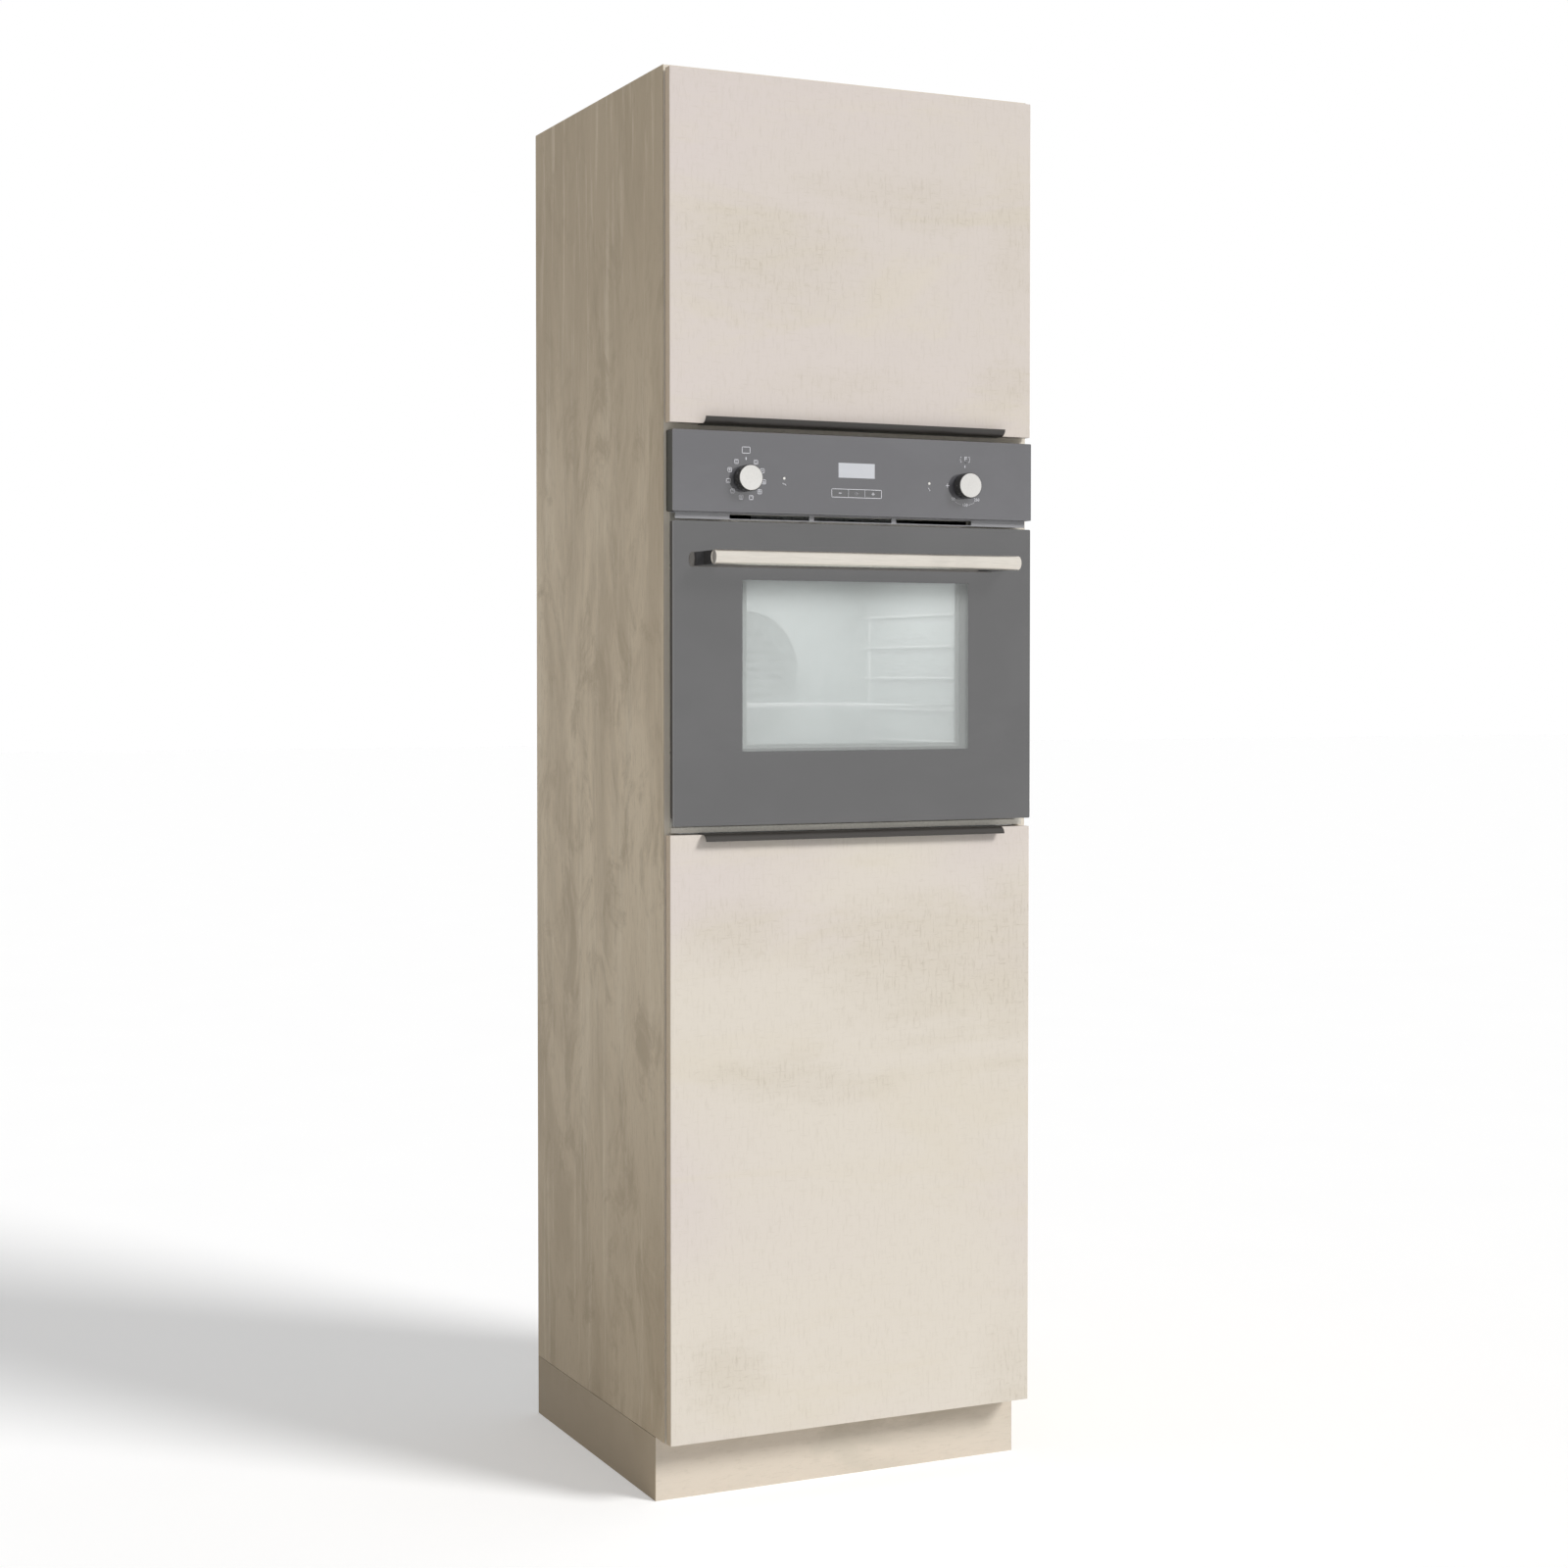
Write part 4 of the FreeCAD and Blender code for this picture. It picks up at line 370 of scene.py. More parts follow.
MATERIALS = {
    "upper_decor": front_board(
        "upper_decor",
        CREAM,
        [((-0.14, 1.82), (0.13, 0.075)), ((0.03, 1.93), (0.15, 0.03)), ((0.13, 1.9), (0.07, 0.03)),
         ((-0.03, 1.64), (0.1, 0.028)), ((0.27, 1.85), (0.04, 0.09)), ((0.26, 1.66), (0.05, 0.03))],
        (0.3, 0, 0.1),
    ),
    "lower_decor": front_board(
        "lower_decor",
        srgb(217, 209, 197),
        [((0.1, 0.78), (0.15, 0.1)), ((-0.2, 0.84), (0.07, 0.05)), ((0.26, 0.8), (0.05, 0.14)),
         ((-0.1, 0.6), (0.1, 0.04)), ((0.27, 0.16), (0.05, 0.08)), ((-0.22, 0.2), (0.06, 0.05))],
        (1.7, 0, 0.6),
    ),
    "side_decor": side_board("side_decor"),
    "plinth_decor": plinth_board(),
    "inner_board": inner_board(),
    "hardboard": hardboard(),
    "galvanised": galvanised(),
    "wool": mineral_wool(),
    "enamel": enamel(),
    "black_coat": coat("black_coat", srgb(56, 53, 50), 0.34),
    "chassis_coat": coat("chassis_coat", srgb(46, 39, 32), 0.5, ior=1.4),
    "shell_matte": coat("shell_matte", srgb(58, 56, 48), 0.55, ior=1.35),
    "foot_plastic": coat("foot_plastic", srgb(40, 40, 41), 0.5, 500, 0.0001),
    "module_plastic": coat("module_plastic", srgb(48, 48, 50), 0.5, 500, 0.0001),
    "standoff_gloss": coat("standoff_gloss", srgb(34, 31, 29), 0.2, 600, 0.00002),
    "seal": coat("seal_rubber", srgb(60, 60, 61), 0.7, 900, 0.0002),
    "nickel": metal("nickel_plate", srgb(200, 198, 192), 0.25),
    "zinc": metal("zinc_plate", srgb(204, 204, 200), 0.35, scale=300),
    "wire": metal("chromed_wire", srgb(246, 246, 246), 0.16, scale=500, metallic=0.35),
    "rod": metal("grill_rod", srgb(150, 148, 144), 0.4, scale=500),
    "cover_steel": metal("cover_steel", srgb(182, 184, 186), 0.35, scale=400),
    "vent": coat("vent_grey", srgb(158, 158, 161), 0.34),
    "frame_grey": metal("frame_sheet", srgb(216, 212, 202), 0.4, scale=300, metallic=0.3),
    "fascia": dark_glass("fascia_gloss", (66, 65, 70), (74, 73, 78)),
    "door_dark": dark_glass("printed_glass", (44, 43, 44), (54, 53, 54)),
    "window": clear_glass("window_glass", srgb(208, 212, 210), 0.28),
    "inner_pane": clear_glass("inner_pane_glass", srgb(210, 215, 213), 0.42),
    "ring_dark": coat("ring_dark", srgb(24, 25, 26), 0.4),
    "ring_pale": coat("ring_pale", srgb(149, 153, 151), 0.4),
    "lamp": clear_glass("lamp_glass", srgb(236, 234, 222), 0.6, 0.1),
    "display": coat("display_face", srgb(200, 202, 207), 0.12, 900, 0.00001),
    "lens": coat("lens_clear", srgb(228, 226, 220), 0.15, 900, 0.00001),
    "key": dark_glass("key_gloss"),
    "knob_skirt": coat("knob_skirt", srgb(40, 38, 36), 0.14, 500, 0.00001, 1.7),
    "knob_face": metal("knob_face", srgb(236, 234, 230), 0.34, (1, 1, 0.06), 2600, 0.00001),
    "handle": brushed_steel_bar(),
    "icon": coat("icon_print", srgb(224, 224, 229), 0.5),
}

FINISH = {
    "side_decor": ["side_panel_left", "side_panel_right"],
    "inner_board": [
        "bottom_panel", "oven_shelf", "upper_fixed_shelf", "top_panel", "lower_shelf_1", "lower_shelf_2",
        "upper_shelf",
    ],
    "hardboard": ["lower_back_panel", "upper_back_panel"],
    "upper_decor": ["upper_door"],
    "lower_decor": ["lower_door"],
    "plinth_decor": ["plinth_front", "plinth_left", "plinth_right"],
    "zinc": ["cam_fittings", "wall_brackets", "shelf_pins"],
    "foot_plastic": ["foot_sockets", "foot_bases", "plinth_clips"],
    "nickel": [
        "hinge_arms", "hinge_mounting_plates", "upper_door_hinge_cups", "lower_door_hinge_cups",
        "oven_hinge_bases", "oven_hinge_levers", "oven_fixing_screws",
    ],
    "galvanised": ["oven_casing", "fan_motor", "cooling_blower"],
    "enamel": ["oven_cavity"],
    "wool": ["insulation"],
    "frame_grey": ["oven_front_frame"],
    "seal": ["door_seal"],
    "wire": ["rack_guides", "oven_rack"],
    "rod": ["grill_element"],
    "cover_steel": ["fan_cover", "convection_fan"],
    "lamp": ["lamp_cover"],
    "fascia": ["control_fascia"],
    "display": ["display_lens"],
    "module_plastic": ["timer_module", "rotary_switches"],
    "key": ["key_minus", "key_mode", "key_plus"],
    "lens": ["indicator_lenses"],
    "vent": ["vent_grille"],
    "chassis_coat": ["oven_door_frame"],
    "black_coat": ["upper_edge_pull", "lower_edge_pull"],
    "inner_pane": ["oven_door_inner_glass"],
    "handle": ["oven_handle_bar"],
    "standoff_gloss": ["oven_handle_standoffs"],
}


def dress_nodes():
    """Gives the CAD nodes listed in FINISH their materials."""
    for finish, names in FINISH.items():
        for name in names:
            data = NODES[name].data
            data.materials.clear()
            data.materials.append(MATERIALS[finish])


# ---------------------------------------------------------------- mesh helpers
def ease(made, width):
    """Rounds an object's sharp edges with a modifier; its mesh stays as it is."""
    modifier = made.modifiers.new("eased", "BEVEL")
    modifier.width = width
    modifier.segments = 3
    modifier.limit_method = "ANGLE"
    modifier.angle_limit = math.radians(40)


def piece(name, mesh, finish, body, bevel=0.0):
    """A finished piece from a bmesh: named, painted, riding on its body."""
    bmesh.ops.recalc_face_normals(mesh, faces=mesh.faces)
    data = bpy.data.meshes.new(name)
    mesh.to_mesh(data)
    mesh.free()
    data.materials.append(MATERIALS[finish])
    made = bpy.data.objects.new(name, data)
    bpy.context.scene.collection.objects.link(made)
    if bevel:
        ease(made, bevel)
    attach(made, body)
    return made


def rounded(x, z, radius, steps=6):
    """Points round a rectangle with rounded corners, in the front's plane."""
    middle_x, middle_z = sum(x) / 2, sum(z) / 2
    points = []
    for quarter, (sx, sz) in enumerate(((1, 1), (-1, 1), (-1, -1), (1, -1))):
        centre_x = middle_x + sx * ((x[1] - x[0]) / 2 - radius)
        centre_z = middle_z + sz * ((z[1] - z[0]) / 2 - radius)
        for step in range(steps + 1):
            angle = math.pi / 2 * (quarter + step / steps)
            points.append((centre_x + radius * math.cos(angle), centre_z + radius * math.sin(angle)))
    return points


def prism(mesh, points, y):
    """A solid plate with an outline in the front's plane, between two depths."""
    loops = [[mesh.verts.new((px, depth, pz)) for px, pz in points] for depth in y]
    mesh.faces.new(loops[0])
    mesh.faces.new(list(reversed(loops[1])))
    wall(mesh, loops[0], loops[1])


def wall(mesh, one, other):
    """Joins two closed loops of as many points."""
    count = len(one)
    for i in range(count):
        j = (i + 1) % count
        mesh.faces.new((one[i], one[j], other[j], other[i]))


def framed(mesh, outer, inner, y):
    """A plate with one opening; both outlines have as many points."""
    front_outer, front_inner, back_outer, back_inner = (
        [mesh.verts.new((px, depth, pz)) for px, pz in points] for depth in y for points in (outer, inner)
    )
    wall(mesh, front_outer, front_inner)
    wall(mesh, back_inner, back_outer)
    wall(mesh, back_outer, front_outer)
    wall(mesh, front_inner, back_inner)


def pierced(mesh, outer, holes, y):
    """A plate with any number of openings, between two depths."""
    layers = []
    for depth in y:
        loops = [[mesh.verts.new((px, depth, pz)) for px, pz in points] for points in (outer, *holes)]
        edges = [mesh.edges.new(pair) for loop in loops for pair in zip(loop, loop[1:] + loop[:1])]
        bmesh.ops.triangle_fill(mesh, edges=edges, use_beauty=True)
        layers.append(loops)
    for one, other in zip(*layers):
        wall(mesh, one, other)


def circle(x, z, radius, steps=32):
    """Points round a circle in the front's plane."""
    turns = [2 * math.pi * step / steps for step in range(steps)]
    return [(x + radius * math.cos(turn), z + radius * math.sin(turn)) for turn in turns]


def turned(mesh, profile, centre, steps=96, axis="Y"):
    """A solid of revolution about a line along Y or X: profile pairs of radius and distance along."""
    rings = []
    for radius, along in profile:
        ring = []
        for step in range(1 if radius == 0 else steps):
            angle = 2 * math.pi * step / steps
            one, other = radius * math.cos(angle), radius * math.sin(angle)
            offset = (one, along, other) if axis == "Y" else (along, one, other)
            ring.append(mesh.verts.new(Vector(centre) + Vector(offset)))
        rings.append(ring)
    for one, other in zip(rings, rings[1:]):
        if len(one) == len(other):
            wall(mesh, one, other)
            continue
        tip, rim = (one[0], other) if len(one) == 1 else (other[0], one)
        for i in range(steps):
            mesh.faces.new((tip, rim[i], rim[(i + 1) % steps]))


def smooth(made, limit=35):
    """Smooth shading with creases kept."""
    made.data.polygons.foreach_set("use_smooth", [True] * len(made.data.polygons))
    made.data.set_sharp_from_angle(angle=math.radians(limit))
    return made


# ---------------------------------------------------------------- oven door
DOOR_LOW, DOOR_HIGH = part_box("oven_door_glass")
GLASS_FRONT, GLASS_BACK = DOOR_LOW.y, DOOR_HIGH.y
WINDOW_SIDE, WINDOW_BELOW, WINDOW_ABOVE = 108 * MM, 107 * MM, 84 * MM
WINDOW_X = (DOOR_LOW.x + WINDOW_SIDE, DOOR_HIGH.x - WINDOW_SIDE)
WINDOW_Z = (DOOR_LOW.z + WINDOW_BELOW, DOOR_HIGH.z - WINDOW_ABOVE)
PANE_CORNER, WINDOW_CORNER, PANE_RIM = 2 * MM, 1 * MM, 0.5 * MM
RING_T, RING_LAP, RING_HEADROOM = 0.8 * MM, 9 * MM, 1 * MM
FRONT_RING_Y = GLASS_FRONT + 15 * MM
REAR_RING_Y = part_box("oven_door_inner_glass")[0].y - RING_T
BAR_EASE, DISH_DEPTH, DISH_RIM, DISH_FLOOR = 1.4 * MM, 0.5 * MM, 2.0 * MM, 2.2 * MM
STANDOFF_EASE = 2.2 * MM


def door_glass():
    """The outer pane: a dark printed border and the clear window in it."""
    mesh = bmesh.new()
    outer = rounded((DOOR_LOW.x, DOOR_HIGH.x), (DOOR_LOW.z, DOOR_HIGH.z), PANE_CORNER)
    inner = rounded(WINDOW_X, WINDOW_Z, WINDOW_CORNER)
    framed(mesh, outer, inner, (GLASS_FRONT, GLASS_BACK))
    border = piece("door_glass_border", mesh, "door_dark", "oven_door_leaf", PANE_RIM)
    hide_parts("oven_door_glass")
    mesh = bmesh.new()
    prism(mesh, inner, (GLASS_FRONT + 0.02 * MM, GLASS_BACK))
    piece("door_window", mesh, "window", "oven_door_leaf")


def window_ring(name, finish, depth, side, below):
    """A thin printed border behind the window, which shows at its right and along its foot."""
    (left, right), (foot, head) = WINDOW_X, WINDOW_Z
    outer = rounded((left - RING_LAP, right + RING_LAP), (foot - RING_LAP, head + RING_LAP), WINDOW_CORNER)
    inner = rounded((left + side, right - side), (foot + below, head + RING_HEADROOM), WINDOW_CORNER)
    mesh = bmesh.new()
    framed(mesh, outer, inner, (depth, depth + RING_T))
    piece(name, mesh, finish, "oven_door_leaf")


def handle():
    """The round bar with eased ends and an end disc set in by a hair."""
    low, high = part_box("oven_handle_bar")
    radius, length = (high.z - low.z) / 2, high.x - low.x
    curve = [math.radians(15 * step) for step in range(7)]
    left = [(radius - BAR_EASE * (1 - math.sin(turn)), BAR_EASE * (1 - math.cos(turn))) for turn in curve]
    right = [(reach, length - along) for reach, along in reversed(left)]
    dish = [(0, DISH_DEPTH), (radius - DISH_FLOOR, DISH_DEPTH), (radius - DISH_RIM, 0.0)]
    far_dish = [(reach, length - along) for reach, along in reversed(dish)]
    mesh = bmesh.new()
    centre = (low.x, (low.y + high.y) / 2, (low.z + high.z) / 2)
    turned(mesh, dish + left + right + far_dish, centre, axis="X")
    bar = smooth(piece("handle_bar", mesh, "handle", "oven_door_leaf"))
    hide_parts("oven_handle_bar")
    ease(NODES["oven_handle_standoffs"], STANDOFF_EASE)


# ---------------------------------------------------------------- edge pulls
PULL_SHEET, PULL_REACH, PULL_DROP, PULL_RIM = 1.5 * MM, 14 * MM, 11 * MM, 0.45 * MM


def edge_pull(which, body):
    """A pull bent from sheet: a leg behind the front, a web over its edge and a smooth curved lip."""
    low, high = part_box(which + "_edge_pull")
    way = 1 if which == "lower" else -1
    crest, foot = (high.z, low.z) if way > 0 else (low.z, high.z)
    edge, front, back = crest - way * PULL_SHEET, low.y + PULL_REACH, high.y - PULL_SHEET
    curve = [math.radians(5 * step) for step in range(19)]

    def bow(inset):
        """The lip's curve, seen from the side, at an inset from its outer face."""
        out, up = PULL_REACH - inset, PULL_DROP - inset
        return [
            (front - out * math.sin(turn), crest - way * (PULL_DROP - up * math.cos(turn))) for turn in curve
        ]

    profile = [(high.y, foot), (high.y, crest)] + bow(0.0) + list(reversed(bow(PULL_SHEET)))
    profile += [(back, edge), (back, foot)]
    mesh = bmesh.new()
    ends = [[mesh.verts.new((x, py, pz)) for py, pz in profile] for x in (low.x, high.x)]
    mesh.faces.new(ends[0])
    mesh.faces.new(list(reversed(ends[1])))
    wall(mesh, *ends)
    made = smooth(piece(which + "_pull", mesh, "black_coat", body, PULL_RIM), 30)
    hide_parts(which + "_edge_pull")


# ---------------------------------------------------------------- control panel
PANEL_LOW, PANEL_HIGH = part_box("control_fascia")
PLATE_T, SHELL_T = 1.2 * MM, 2.5 * MM
PANEL_CORNER, TRAY_CORNER, HOLE_CORNER, PLATE_RIM = 1.5 * MM, 1 * MM, 0.4 * MM, 0.25 * MM
LENS_LAP, KEY_LAP, LIGHT_FOOT = 3 * MM, 1 * MM, 3.5 * MM
SPINDLE_HOLE, LIGHT_HOLE = 6 * MM, 2 * MM
PRINT_T, PRINT_SINK, PRINT_WIDTH = 0.12 * MM, 0.02 * MM, 0.8 * MM


def middle(name):
    """Across and up position of a node's middle."""
    low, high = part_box(name)
    return (low.x + high.x) / 2, (low.z + high.z) / 2


def key_opening(name):
    """Across and up spans of a key's opening, from its flange."""
    low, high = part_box(name)
    return (low.x, high.x), (low.z + KEY_LAP, high.z - KEY_LAP)


def corners(x, z):
    """Corners of an upright rectangle."""
    return [(x[0], z[0]), (x[1], z[0]), (x[1], z[1]), (x[0], z[1])]


def light_spots():
    """Across and up positions of the two indicator lights."""
    low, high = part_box("indicator_lenses")
    level = (low.z + high.z) / 2
    return (low.x + LIGHT_FOOT, level), (high.x - LIGHT_FOOT, level)


def inset(span, margin):
    """A span shortened at both ends."""
    return span[0] + margin, span[1] - margin


def panel_holes():
    """Outlines of the openings for the clock window, keys, knob spindles and lights."""
    low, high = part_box("display_lens")
    clock = inset((low.x, high.x), LENS_LAP), inset((low.z, high.z), LENS_LAP)
    holes = [rounded(*clock, HOLE_CORNER, 3)]
    holes += [rounded(*key_opening(name), HOLE_CORNER, 3) for name in KEY_BODIES]
    holes += [circle(*middle(name), SPINDLE_HOLE) for name in ("function_knob", "thermostat_knob")]
    return holes + [circle(*spot, LIGHT_HOLE) for spot in light_spots()]


def panel():
    """The control panel: a matt tray behind a thin gloss plate, both pierced alike."""
    holes = panel_holes()
    across, up = (PANEL_LOW.x, PANEL_HIGH.x), (PANEL_LOW.z, PANEL_HIGH.z)
    mesh = bmesh.new()
    pierced(mesh, rounded(across, up, PANEL_CORNER), holes, (PANEL_LOW.y, PANEL_LOW.y + PLATE_T))
    plate = piece("panel_plate", mesh, "fascia", "cabinet", PLATE_RIM)
    mesh = bmesh.new()
    inner = rounded(inset(across, SHELL_T), inset(up, SHELL_T), TRAY_CORNER)
    framed(mesh, rounded(across, up, PANEL_CORNER), inner, (PANEL_LOW.y + PLATE_T, PANEL_HIGH.y))
    pierced(mesh, inner, holes, (PANEL_LOW.y + PLATE_T, PANEL_LOW.y + SHELL_T))
    piece("panel_tray", mesh, "shell_matte", "cabinet")
    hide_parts("control_fascia")


def stroke(mesh, start, end, width):
    """One printed line on the panel, a hair thick, with square ends."""
    one, other = Vector(start), Vector(end)
    along = (other - one).normalized() * width / 2
    aside = Vector((-along.y, along.x))
    spots = (one - along - aside, other + along - aside, other + along + aside, one - along + aside)
    prism(mesh, [tuple(spot) for spot in spots], (PANEL_LOW.y - PRINT_T, PANEL_LOW.y + PRINT_SINK))


def printed(name, centre, lines, width=PRINT_WIDTH, body="cabinet"):
    """Printed marks: lines are pairs of points, in millimetres from a centre."""
    mesh = bmesh.new()
    for line in lines:
        ends = [(centre[0] + px * MM, centre[1] + pz * MM) for px, pz in line]
        stroke(mesh, *ends, width)
    piece(name, mesh, "icon", body)


def run(points, closed=True):
    """Lines from point to point."""
    return list(zip(points, points[1:] + points[:1])) if closed else list(zip(points, points[1:]))


# Function symbols, as lines in a square from -1 to 1.
SQUARE = run([(-1, -1), (1, -1), (1, 1), (-1, 1)])
TOP_HEAT = [((-0.5, 0.5), (0.5, 0.5))]
BOTTOM_HEAT = [((-0.5, -0.5), (0.5, -0.5))]
FAN = [((-0.4, 0), (0.4, 0)), ((0, -0.4), (0, 0.4))]
GRILL = run([(-0.5, 0.3), (-0.25, 0.6), (0, 0.3), (0.25, 0.6), (0.5, 0.3)], closed=False)
FUNCTIONS = (
    TOP_HEAT + BOTTOM_HEAT,
    TOP_HEAT + FAN,
    BOTTOM_HEAT,
    TOP_HEAT,
    TOP_HEAT + FAN + BOTTOM_HEAT,
    GRILL,
    GRILL + FAN,
    BOTTOM_HEAT + FAN,
    FAN,
    GRILL + BOTTOM_HEAT,
)
DIAL_RADIUS, SYMBOL_HALF = 28.5, 3.0  # millimetres
NUMBER_HEIGHT = 6.2 * MM
KEY_BODIES = {"key_minus": "minus_key", "key_mode": "mode_key", "key_plus": "plus_key"}


def ring_run(radius, first=0, last=360, steps=12, centre=(0, 0)):
    """Lines along an arc, from one angle to another."""
    turns = [math.radians(first + (last - first) * step / steps) for step in range(steps + 1)]
    points = [(centre[0] + radius * math.cos(turn), centre[1] + radius * math.sin(turn)) for turn in turns]
    return run(points, closed=False)


def function_marks():
    """Heating symbols in a ring round the left knob, a tick at its top and a plain square over it."""
    axis = middle("function_knob")
    count = len(FUNCTIONS) + 1
    lines = []
    for index, symbol in enumerate(FUNCTIONS, start=1):
        turn = math.radians(90 + 360 / count * index)
        x, z = DIAL_RADIUS * math.cos(turn), DIAL_RADIUS * math.sin(turn)
        for line in SQUARE + symbol:
            lines.append([(x + SYMBOL_HALF * px, z + SYMBOL_HALF * pz) for px, pz in line])
    printed("function_symbols", axis, lines, width=0.75 * MM)
    printed("function_tick", axis, [((0, 27.6), (0, 30.0))], width=1.6 * MM)
    door = run([(-6.2, 36.5), (6.2, 36.5), (6.2, 45.5), (-6.2, 45.5)])
    printed("function_door_mark", axis, door)


def heat_marks():
    """A scale with plain numbers round the right knob, and a thermometer over it."""
    axis = middle("thermostat_knob")
    printed("heat_tick", axis, [((0, 28.2), (0, 30.4))], width=1.3 * MM)
    cross = [((-32.5, 0), (-27.5, 0)), ((-30, -2.3), (-30, 2.3))]
    printed("heat_cross", axis, cross)
    gauge = [((0, 38), (0, 44)), ((1.6, 43.5), (3, 43.5)), ((1.6, 41.3), (3, 41.3))]
    gauge += ring_run(1.5, centre=(0, 36))
    gauge += ring_run(8, 150, 210, 4, (0, 40)) + ring_run(8, -30, 30, 4, (0, 40))
    printed("heat_gauge", axis, gauge, width=0.9 * MM)
    arcs = ring_run(29, 236, 256, 4) + ring_run(29, 284, 304, 4)
    printed("heat_scale", axis, arcs, width=0.45 * MM)
    for number, angle in ((50, 225), (150, 270), (250, 315)):
        turn = math.radians(angle)
        x, z = DIAL_RADIUS * MM * math.cos(turn), DIAL_RADIUS * MM * math.sin(turn)
        dial_number(number, (axis[0] + x, axis[1] + z))


def dial_number(number, spot):
    """A plain number on the dial, from the built-in font."""
    data = bpy.data.curves.new(f"heat_{number}_outline", "FONT")
    data.body = str(number)
    data.size = NUMBER_HEIGHT
    data.align_x, data.align_y = "CENTER", "CENTER"
    data.extrude = PRINT_T / 2
    data.resolution_u = 3
    outline = bpy.data.objects.new(f"heat_{number}_outline", data)
    solid = bpy.data.meshes.new_from_object(outline)
    bpy.data.objects.remove(outline)
    mesh = bmesh.new()
    mesh.from_mesh(solid)
    bpy.data.meshes.remove(solid)
    place = Matrix.Translation((spot[0], PANEL_LOW.y - PRINT_T / 2, spot[1]))
    upright = Matrix.Rotation(math.pi / 2, 4, "X")
    bmesh.ops.transform(mesh, matrix=place @ upright, verts=mesh.verts)
    bmesh.ops.remove_doubles(mesh, verts=mesh.verts, dist=0.001 * MM)
    piece(f"heat_{number}", mesh, "icon", "cabinet")


def key_marks():
    """The printed frame round the keys, and a mark on each key that moves with it."""
    (left, _), up = key_opening("key_minus")
    right = key_opening("key_plus")[0][1]
    half = PRINT_WIDTH / 2
    mesh = bmesh.new()
    box = corners((left - half, right + half), (up[0] - half, up[1] + half))
    for start, end in run(box):
        stroke(mesh, start, end, PRINT_WIDTH)
    for before, after in (("key_minus", "key_mode"), ("key_mode", "key_plus")):
        x = (key_opening(before)[0][1] + key_opening(after)[0][0]) / 2
        stroke(mesh, (x, up[0]), (x, up[1]), 0.55 * MM)
    piece("key_frame", mesh, "icon", "cabinet")
    marks = {
        "key_minus": [((-1.8, 0), (1.8, 0))],
        "key_mode": ring_run(2.1) + [((0, 0), (0, 1.3)), ((0, 0), (1, 0))],
        "key_plus": [((-1.8, 0), (1.8, 0)), ((0, -1.8), (0, 1.8))],
    }
    for name, lines in marks.items():
        printed(name + "_mark", middle(name), lines, 1.0 * MM, KEY_BODIES[name])


def light_marks():
    """A small slanted tick of three strokes under each indicator light."""
    left, right = light_spots()
    flat = [(-2.4, -7.2), (-0.8, -8.4), (1.4, -8.0), (2.8, -10)]
    steep = [(-1.4, -6.6), (-0.4, -8.6), (0.9, -8.8), (0.9, -10.8)]
    printed("light_symbol_left", left, run(flat, closed=False), width=0.7 * MM)
    printed("light_symbol_right", right, run(steep, closed=False), width=0.7 * MM)


# ---------------------------------------------------------------- knobs
KNOB_GAP = 0.6 * MM


def knob(name, body):
    """A dark turned skirt with a brushed face and a fine groove between them."""
    low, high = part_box(name)
    radius = (high.x - low.x) / 2
    centre = ((low.x + high.x) / 2, low.y, (low.z + high.z) / 2)
    rear = PANEL_LOW.y - KNOB_GAP - low.y
    mesh = bmesh.new()
    skirt = [
        (0, 0.9 * MM), (radius - 1.4 * MM, 0.9 * MM), (radius - 1.1 * MM, 0.6 * MM),
        (radius - 0.5 * MM, 0.9 * MM), (radius, 1.8 * MM), (radius, rear - 1.2 * MM),
        (radius - 0.6 * MM, rear - 0.4 * MM), (radius - 1.2 * MM, rear), (0, rear),
    ]
    turned(mesh, skirt, centre)
    made = smooth(piece(name + "_skirt", mesh, "knob_skirt", body))
    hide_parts(name)
    mesh = bmesh.new()
    face = [
        (0, 0.15 * MM), (radius - 3.2 * MM, 0.15 * MM), (radius - 2.6 * MM, 0.0), (radius - 1.7 * MM, 0.0),
        (radius - 1.2 * MM, 0.35 * MM), (radius - 1.2 * MM, 1.2 * MM), (0, 1.2 * MM),
    ]
    turned(mesh, face, centre)
    smooth(piece(name + "_face", mesh, "knob_face", body))


# ---------------------------------------------------------------- scene
def aim(made, target):
    """Points a lamp or camera at a spot."""
    made.rotation_euler = (Vector(target) - made.location).to_track_quat("-Z", "Y").to_euler()


SKY, SUN = 0.38, 0.8
SUN_ANGLE, SUN_FROM = math.radians(18), (2.2, -2.8, 2.5)
FLOOR_LIFT, FLOOR_REACH = 0.27, 40
GLOW_SIZE, GLOW_WATTS, GLOW_AT = (0.36, 0.3), 2.3, (0, -0.03, 1.37)
LENS, SENSOR, SHIFT_Y = 59.604, 36.0, -0.02625
CAMERA_AT, YAW, PITCH = (-1.72473, -3.70357, 1.20691), 0.4359, 0.0248


def seen_directly(tree):
    """1 for rays that show the surround itself: from the camera, a mirror or through glass."""
    path = tree.nodes.new("ShaderNodeLightPath")
    reach = path.outputs["Is Camera Ray"]
    for other in ("Is Glossy Ray", "Is Transmission Ray"):
        most = tree.nodes.new("ShaderNodeMath")
        most.operation = "MAXIMUM"
        tree.links.new(reach, most.inputs[0])
        tree.links.new(path.outputs[other], most.inputs[1])
        reach = most.outputs[0]
    return reach


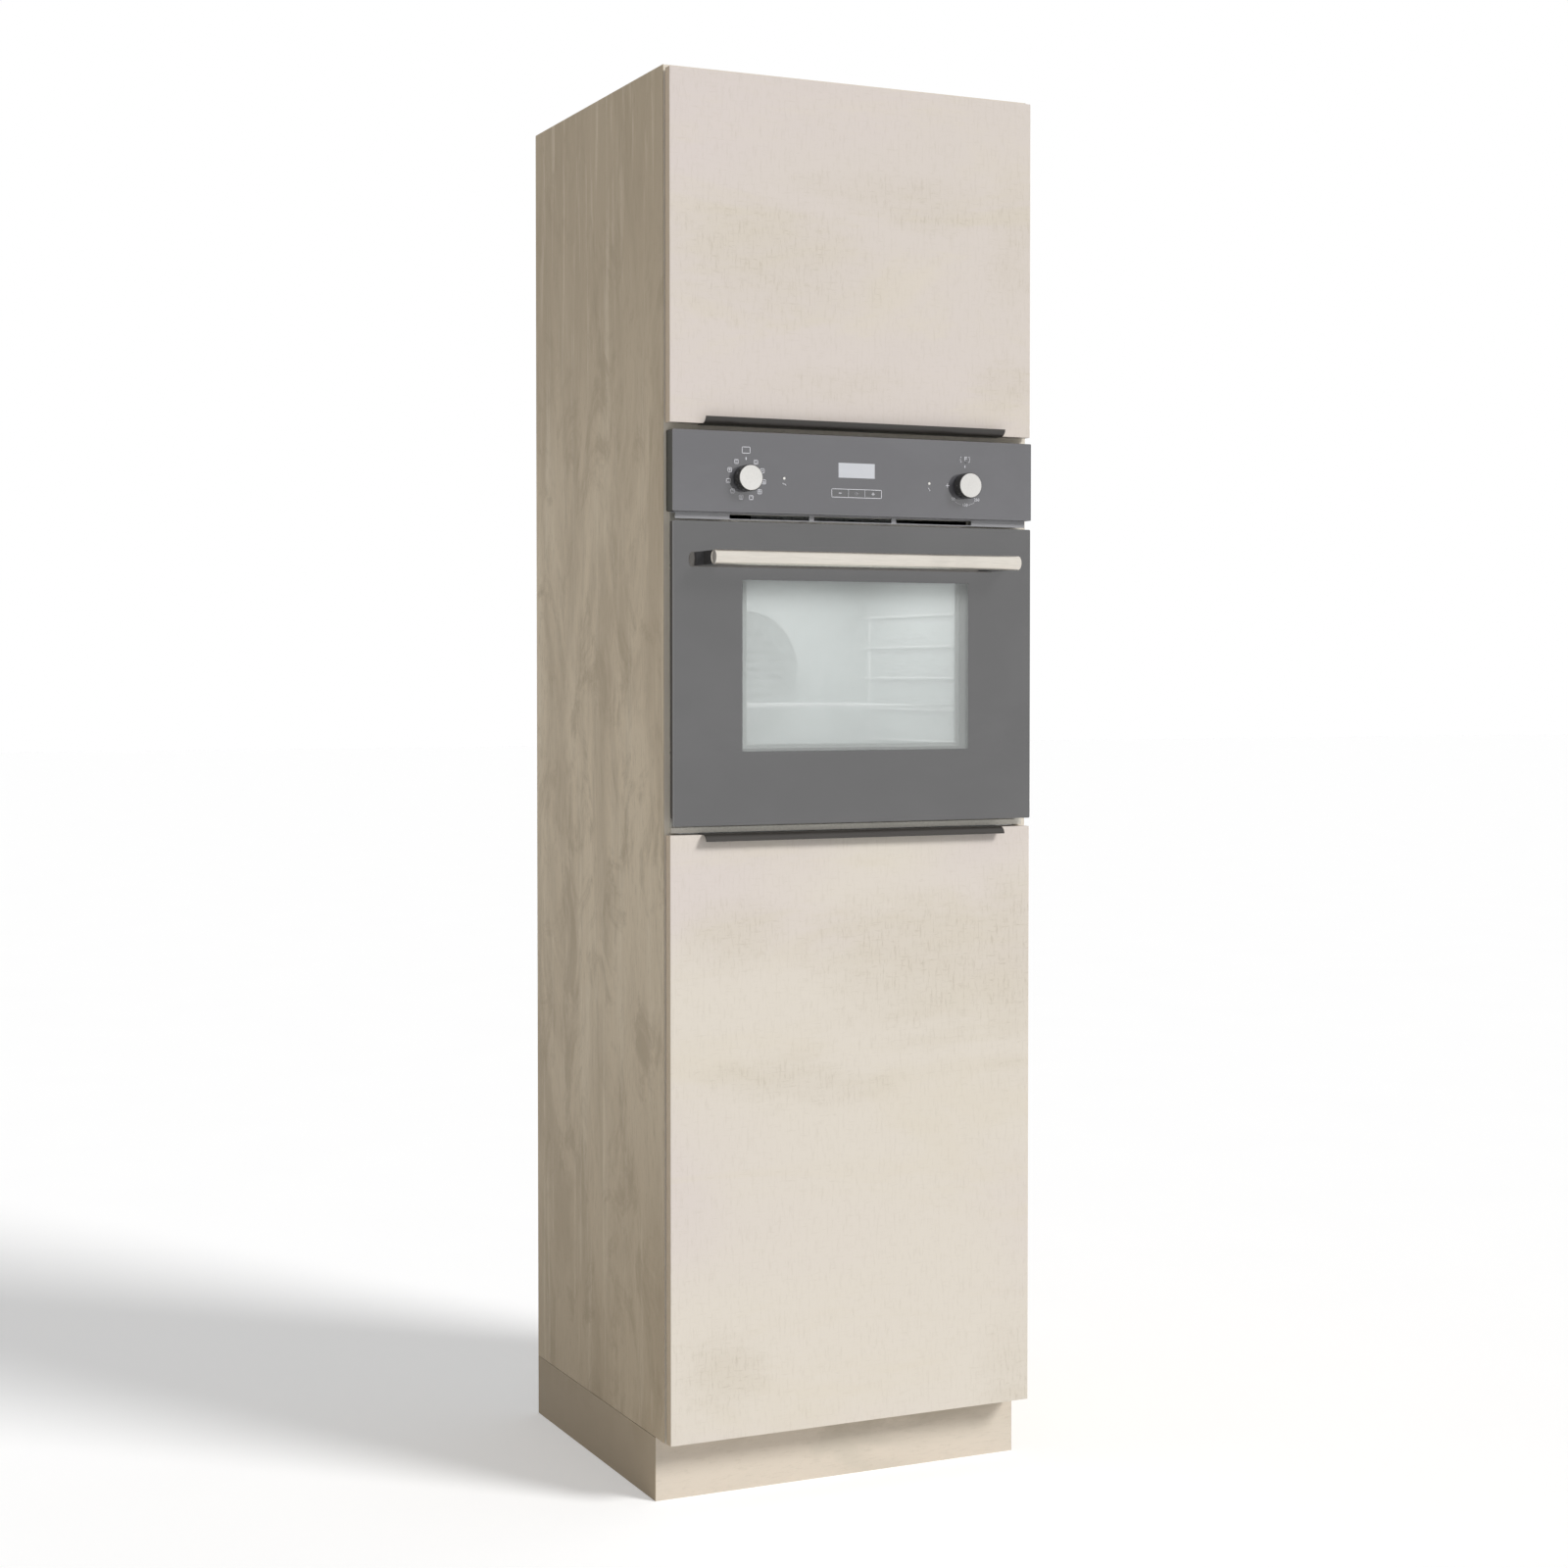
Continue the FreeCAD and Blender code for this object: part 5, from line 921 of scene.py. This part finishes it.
def floor():
    """A pale floor, lifted to white where it is seen, so that only the shadow shows."""
    mesh = bmesh.new()
    for x, y in ((-1, -1), (1, -1), (1, 1), (-1, 1)):
        mesh.verts.new((x * FLOOR_REACH, y * FLOOR_REACH, 0))
    mesh.faces.new(mesh.verts)
    data = bpy.data.meshes.new("floor")
    mesh.to_mesh(data)
    mesh.free()
    made = bpy.data.objects.new("floor", data)
    bpy.context.scene.collection.objects.link(made)
    shader = Shader("floor_white", roughness=0.9)
    mottle = shader.noise(3, (1, 1, 1), 2.0, 0.5)
    shader.set("Base Color", shader.blend(mottle, (0.85, 0.85, 0.85), (0.87, 0.87, 0.87)))
    shader.set("Specular IOR Level", 0.0)
    shader.set("Emission Color", (1.0, 1.0, 1.0))
    shader.set("Emission Strength", shader.sum("MULTIPLY", seen_directly(shader.tree), FLOOR_LIFT))
    data.materials.append(shader.material)


def surround():
    """A white surround, dimmer as a light than as it looks."""
    world = bpy.data.worlds.new("studio")
    bpy.context.scene.world = world
    world.use_nodes = True
    tree = world.node_tree
    level = tree.nodes.new("ShaderNodeMapRange")
    level.inputs["To Min"].default_value = SKY
    level.inputs["To Max"].default_value = 1.0
    tree.links.new(seen_directly(tree), level.inputs["Value"])
    background = tree.nodes["Background"]
    background.inputs["Color"].default_value = (1, 1, 1, 1)
    tree.links.new(level.outputs["Result"], background.inputs["Strength"])


def lamps():
    """One broad soft sun from the right, and a small glow under the cavity's roof."""
    key = bpy.data.lights.new("key", "SUN")
    key.energy = SUN * math.pi
    key.angle = SUN_ANGLE
    lamp = bpy.data.objects.new("key", key)
    lamp.location = SUN_FROM
    bpy.context.scene.collection.objects.link(lamp)
    aim(lamp, (0, 0, 0))
    lamp.visible_glossy = False

    glow = bpy.data.lights.new("cavity_glow", "AREA")
    glow.shape = "RECTANGLE"
    glow.size, glow.size_y = GLOW_SIZE
    glow.energy = GLOW_WATTS
    inside = bpy.data.objects.new("cavity_glow", glow)
    inside.location = GLOW_AT
    bpy.context.scene.collection.objects.link(inside)
    inside.visible_camera = False
    inside.visible_glossy = False


def camera():
    """The photograph's viewpoint, fitted from the unit's corners in its 1600 px frame."""
    data = bpy.data.cameras.new("camera")
    data.sensor_width = SENSOR
    data.lens = LENS
    data.shift_y = SHIFT_Y
    data.clip_start = 0.05
    made = bpy.data.objects.new("camera", data)
    made.location = CAMERA_AT
    made.rotation_euler = (math.pi / 2 - PITCH, 0, -YAW)
    bpy.context.scene.collection.objects.link(made)
    bpy.context.scene.camera = made


dress_nodes()
door_glass()
window_ring("window_ring_front", "ring_dark", FRONT_RING_Y, 7 * MM, 4 * MM)
window_ring("window_ring_rear", "ring_pale", REAR_RING_Y, 14 * MM, 10 * MM)
handle()
edge_pull("upper", "upper_door_leaf")
edge_pull("lower", "lower_door_leaf")
panel()
function_marks()
heat_marks()
key_marks()
light_marks()
knob("function_knob", "function_selector")
knob("thermostat_knob", "temperature_selector")
floor()
surround()
lamps()
camera()
bpy.context.scene.view_settings.view_transform = "Standard"
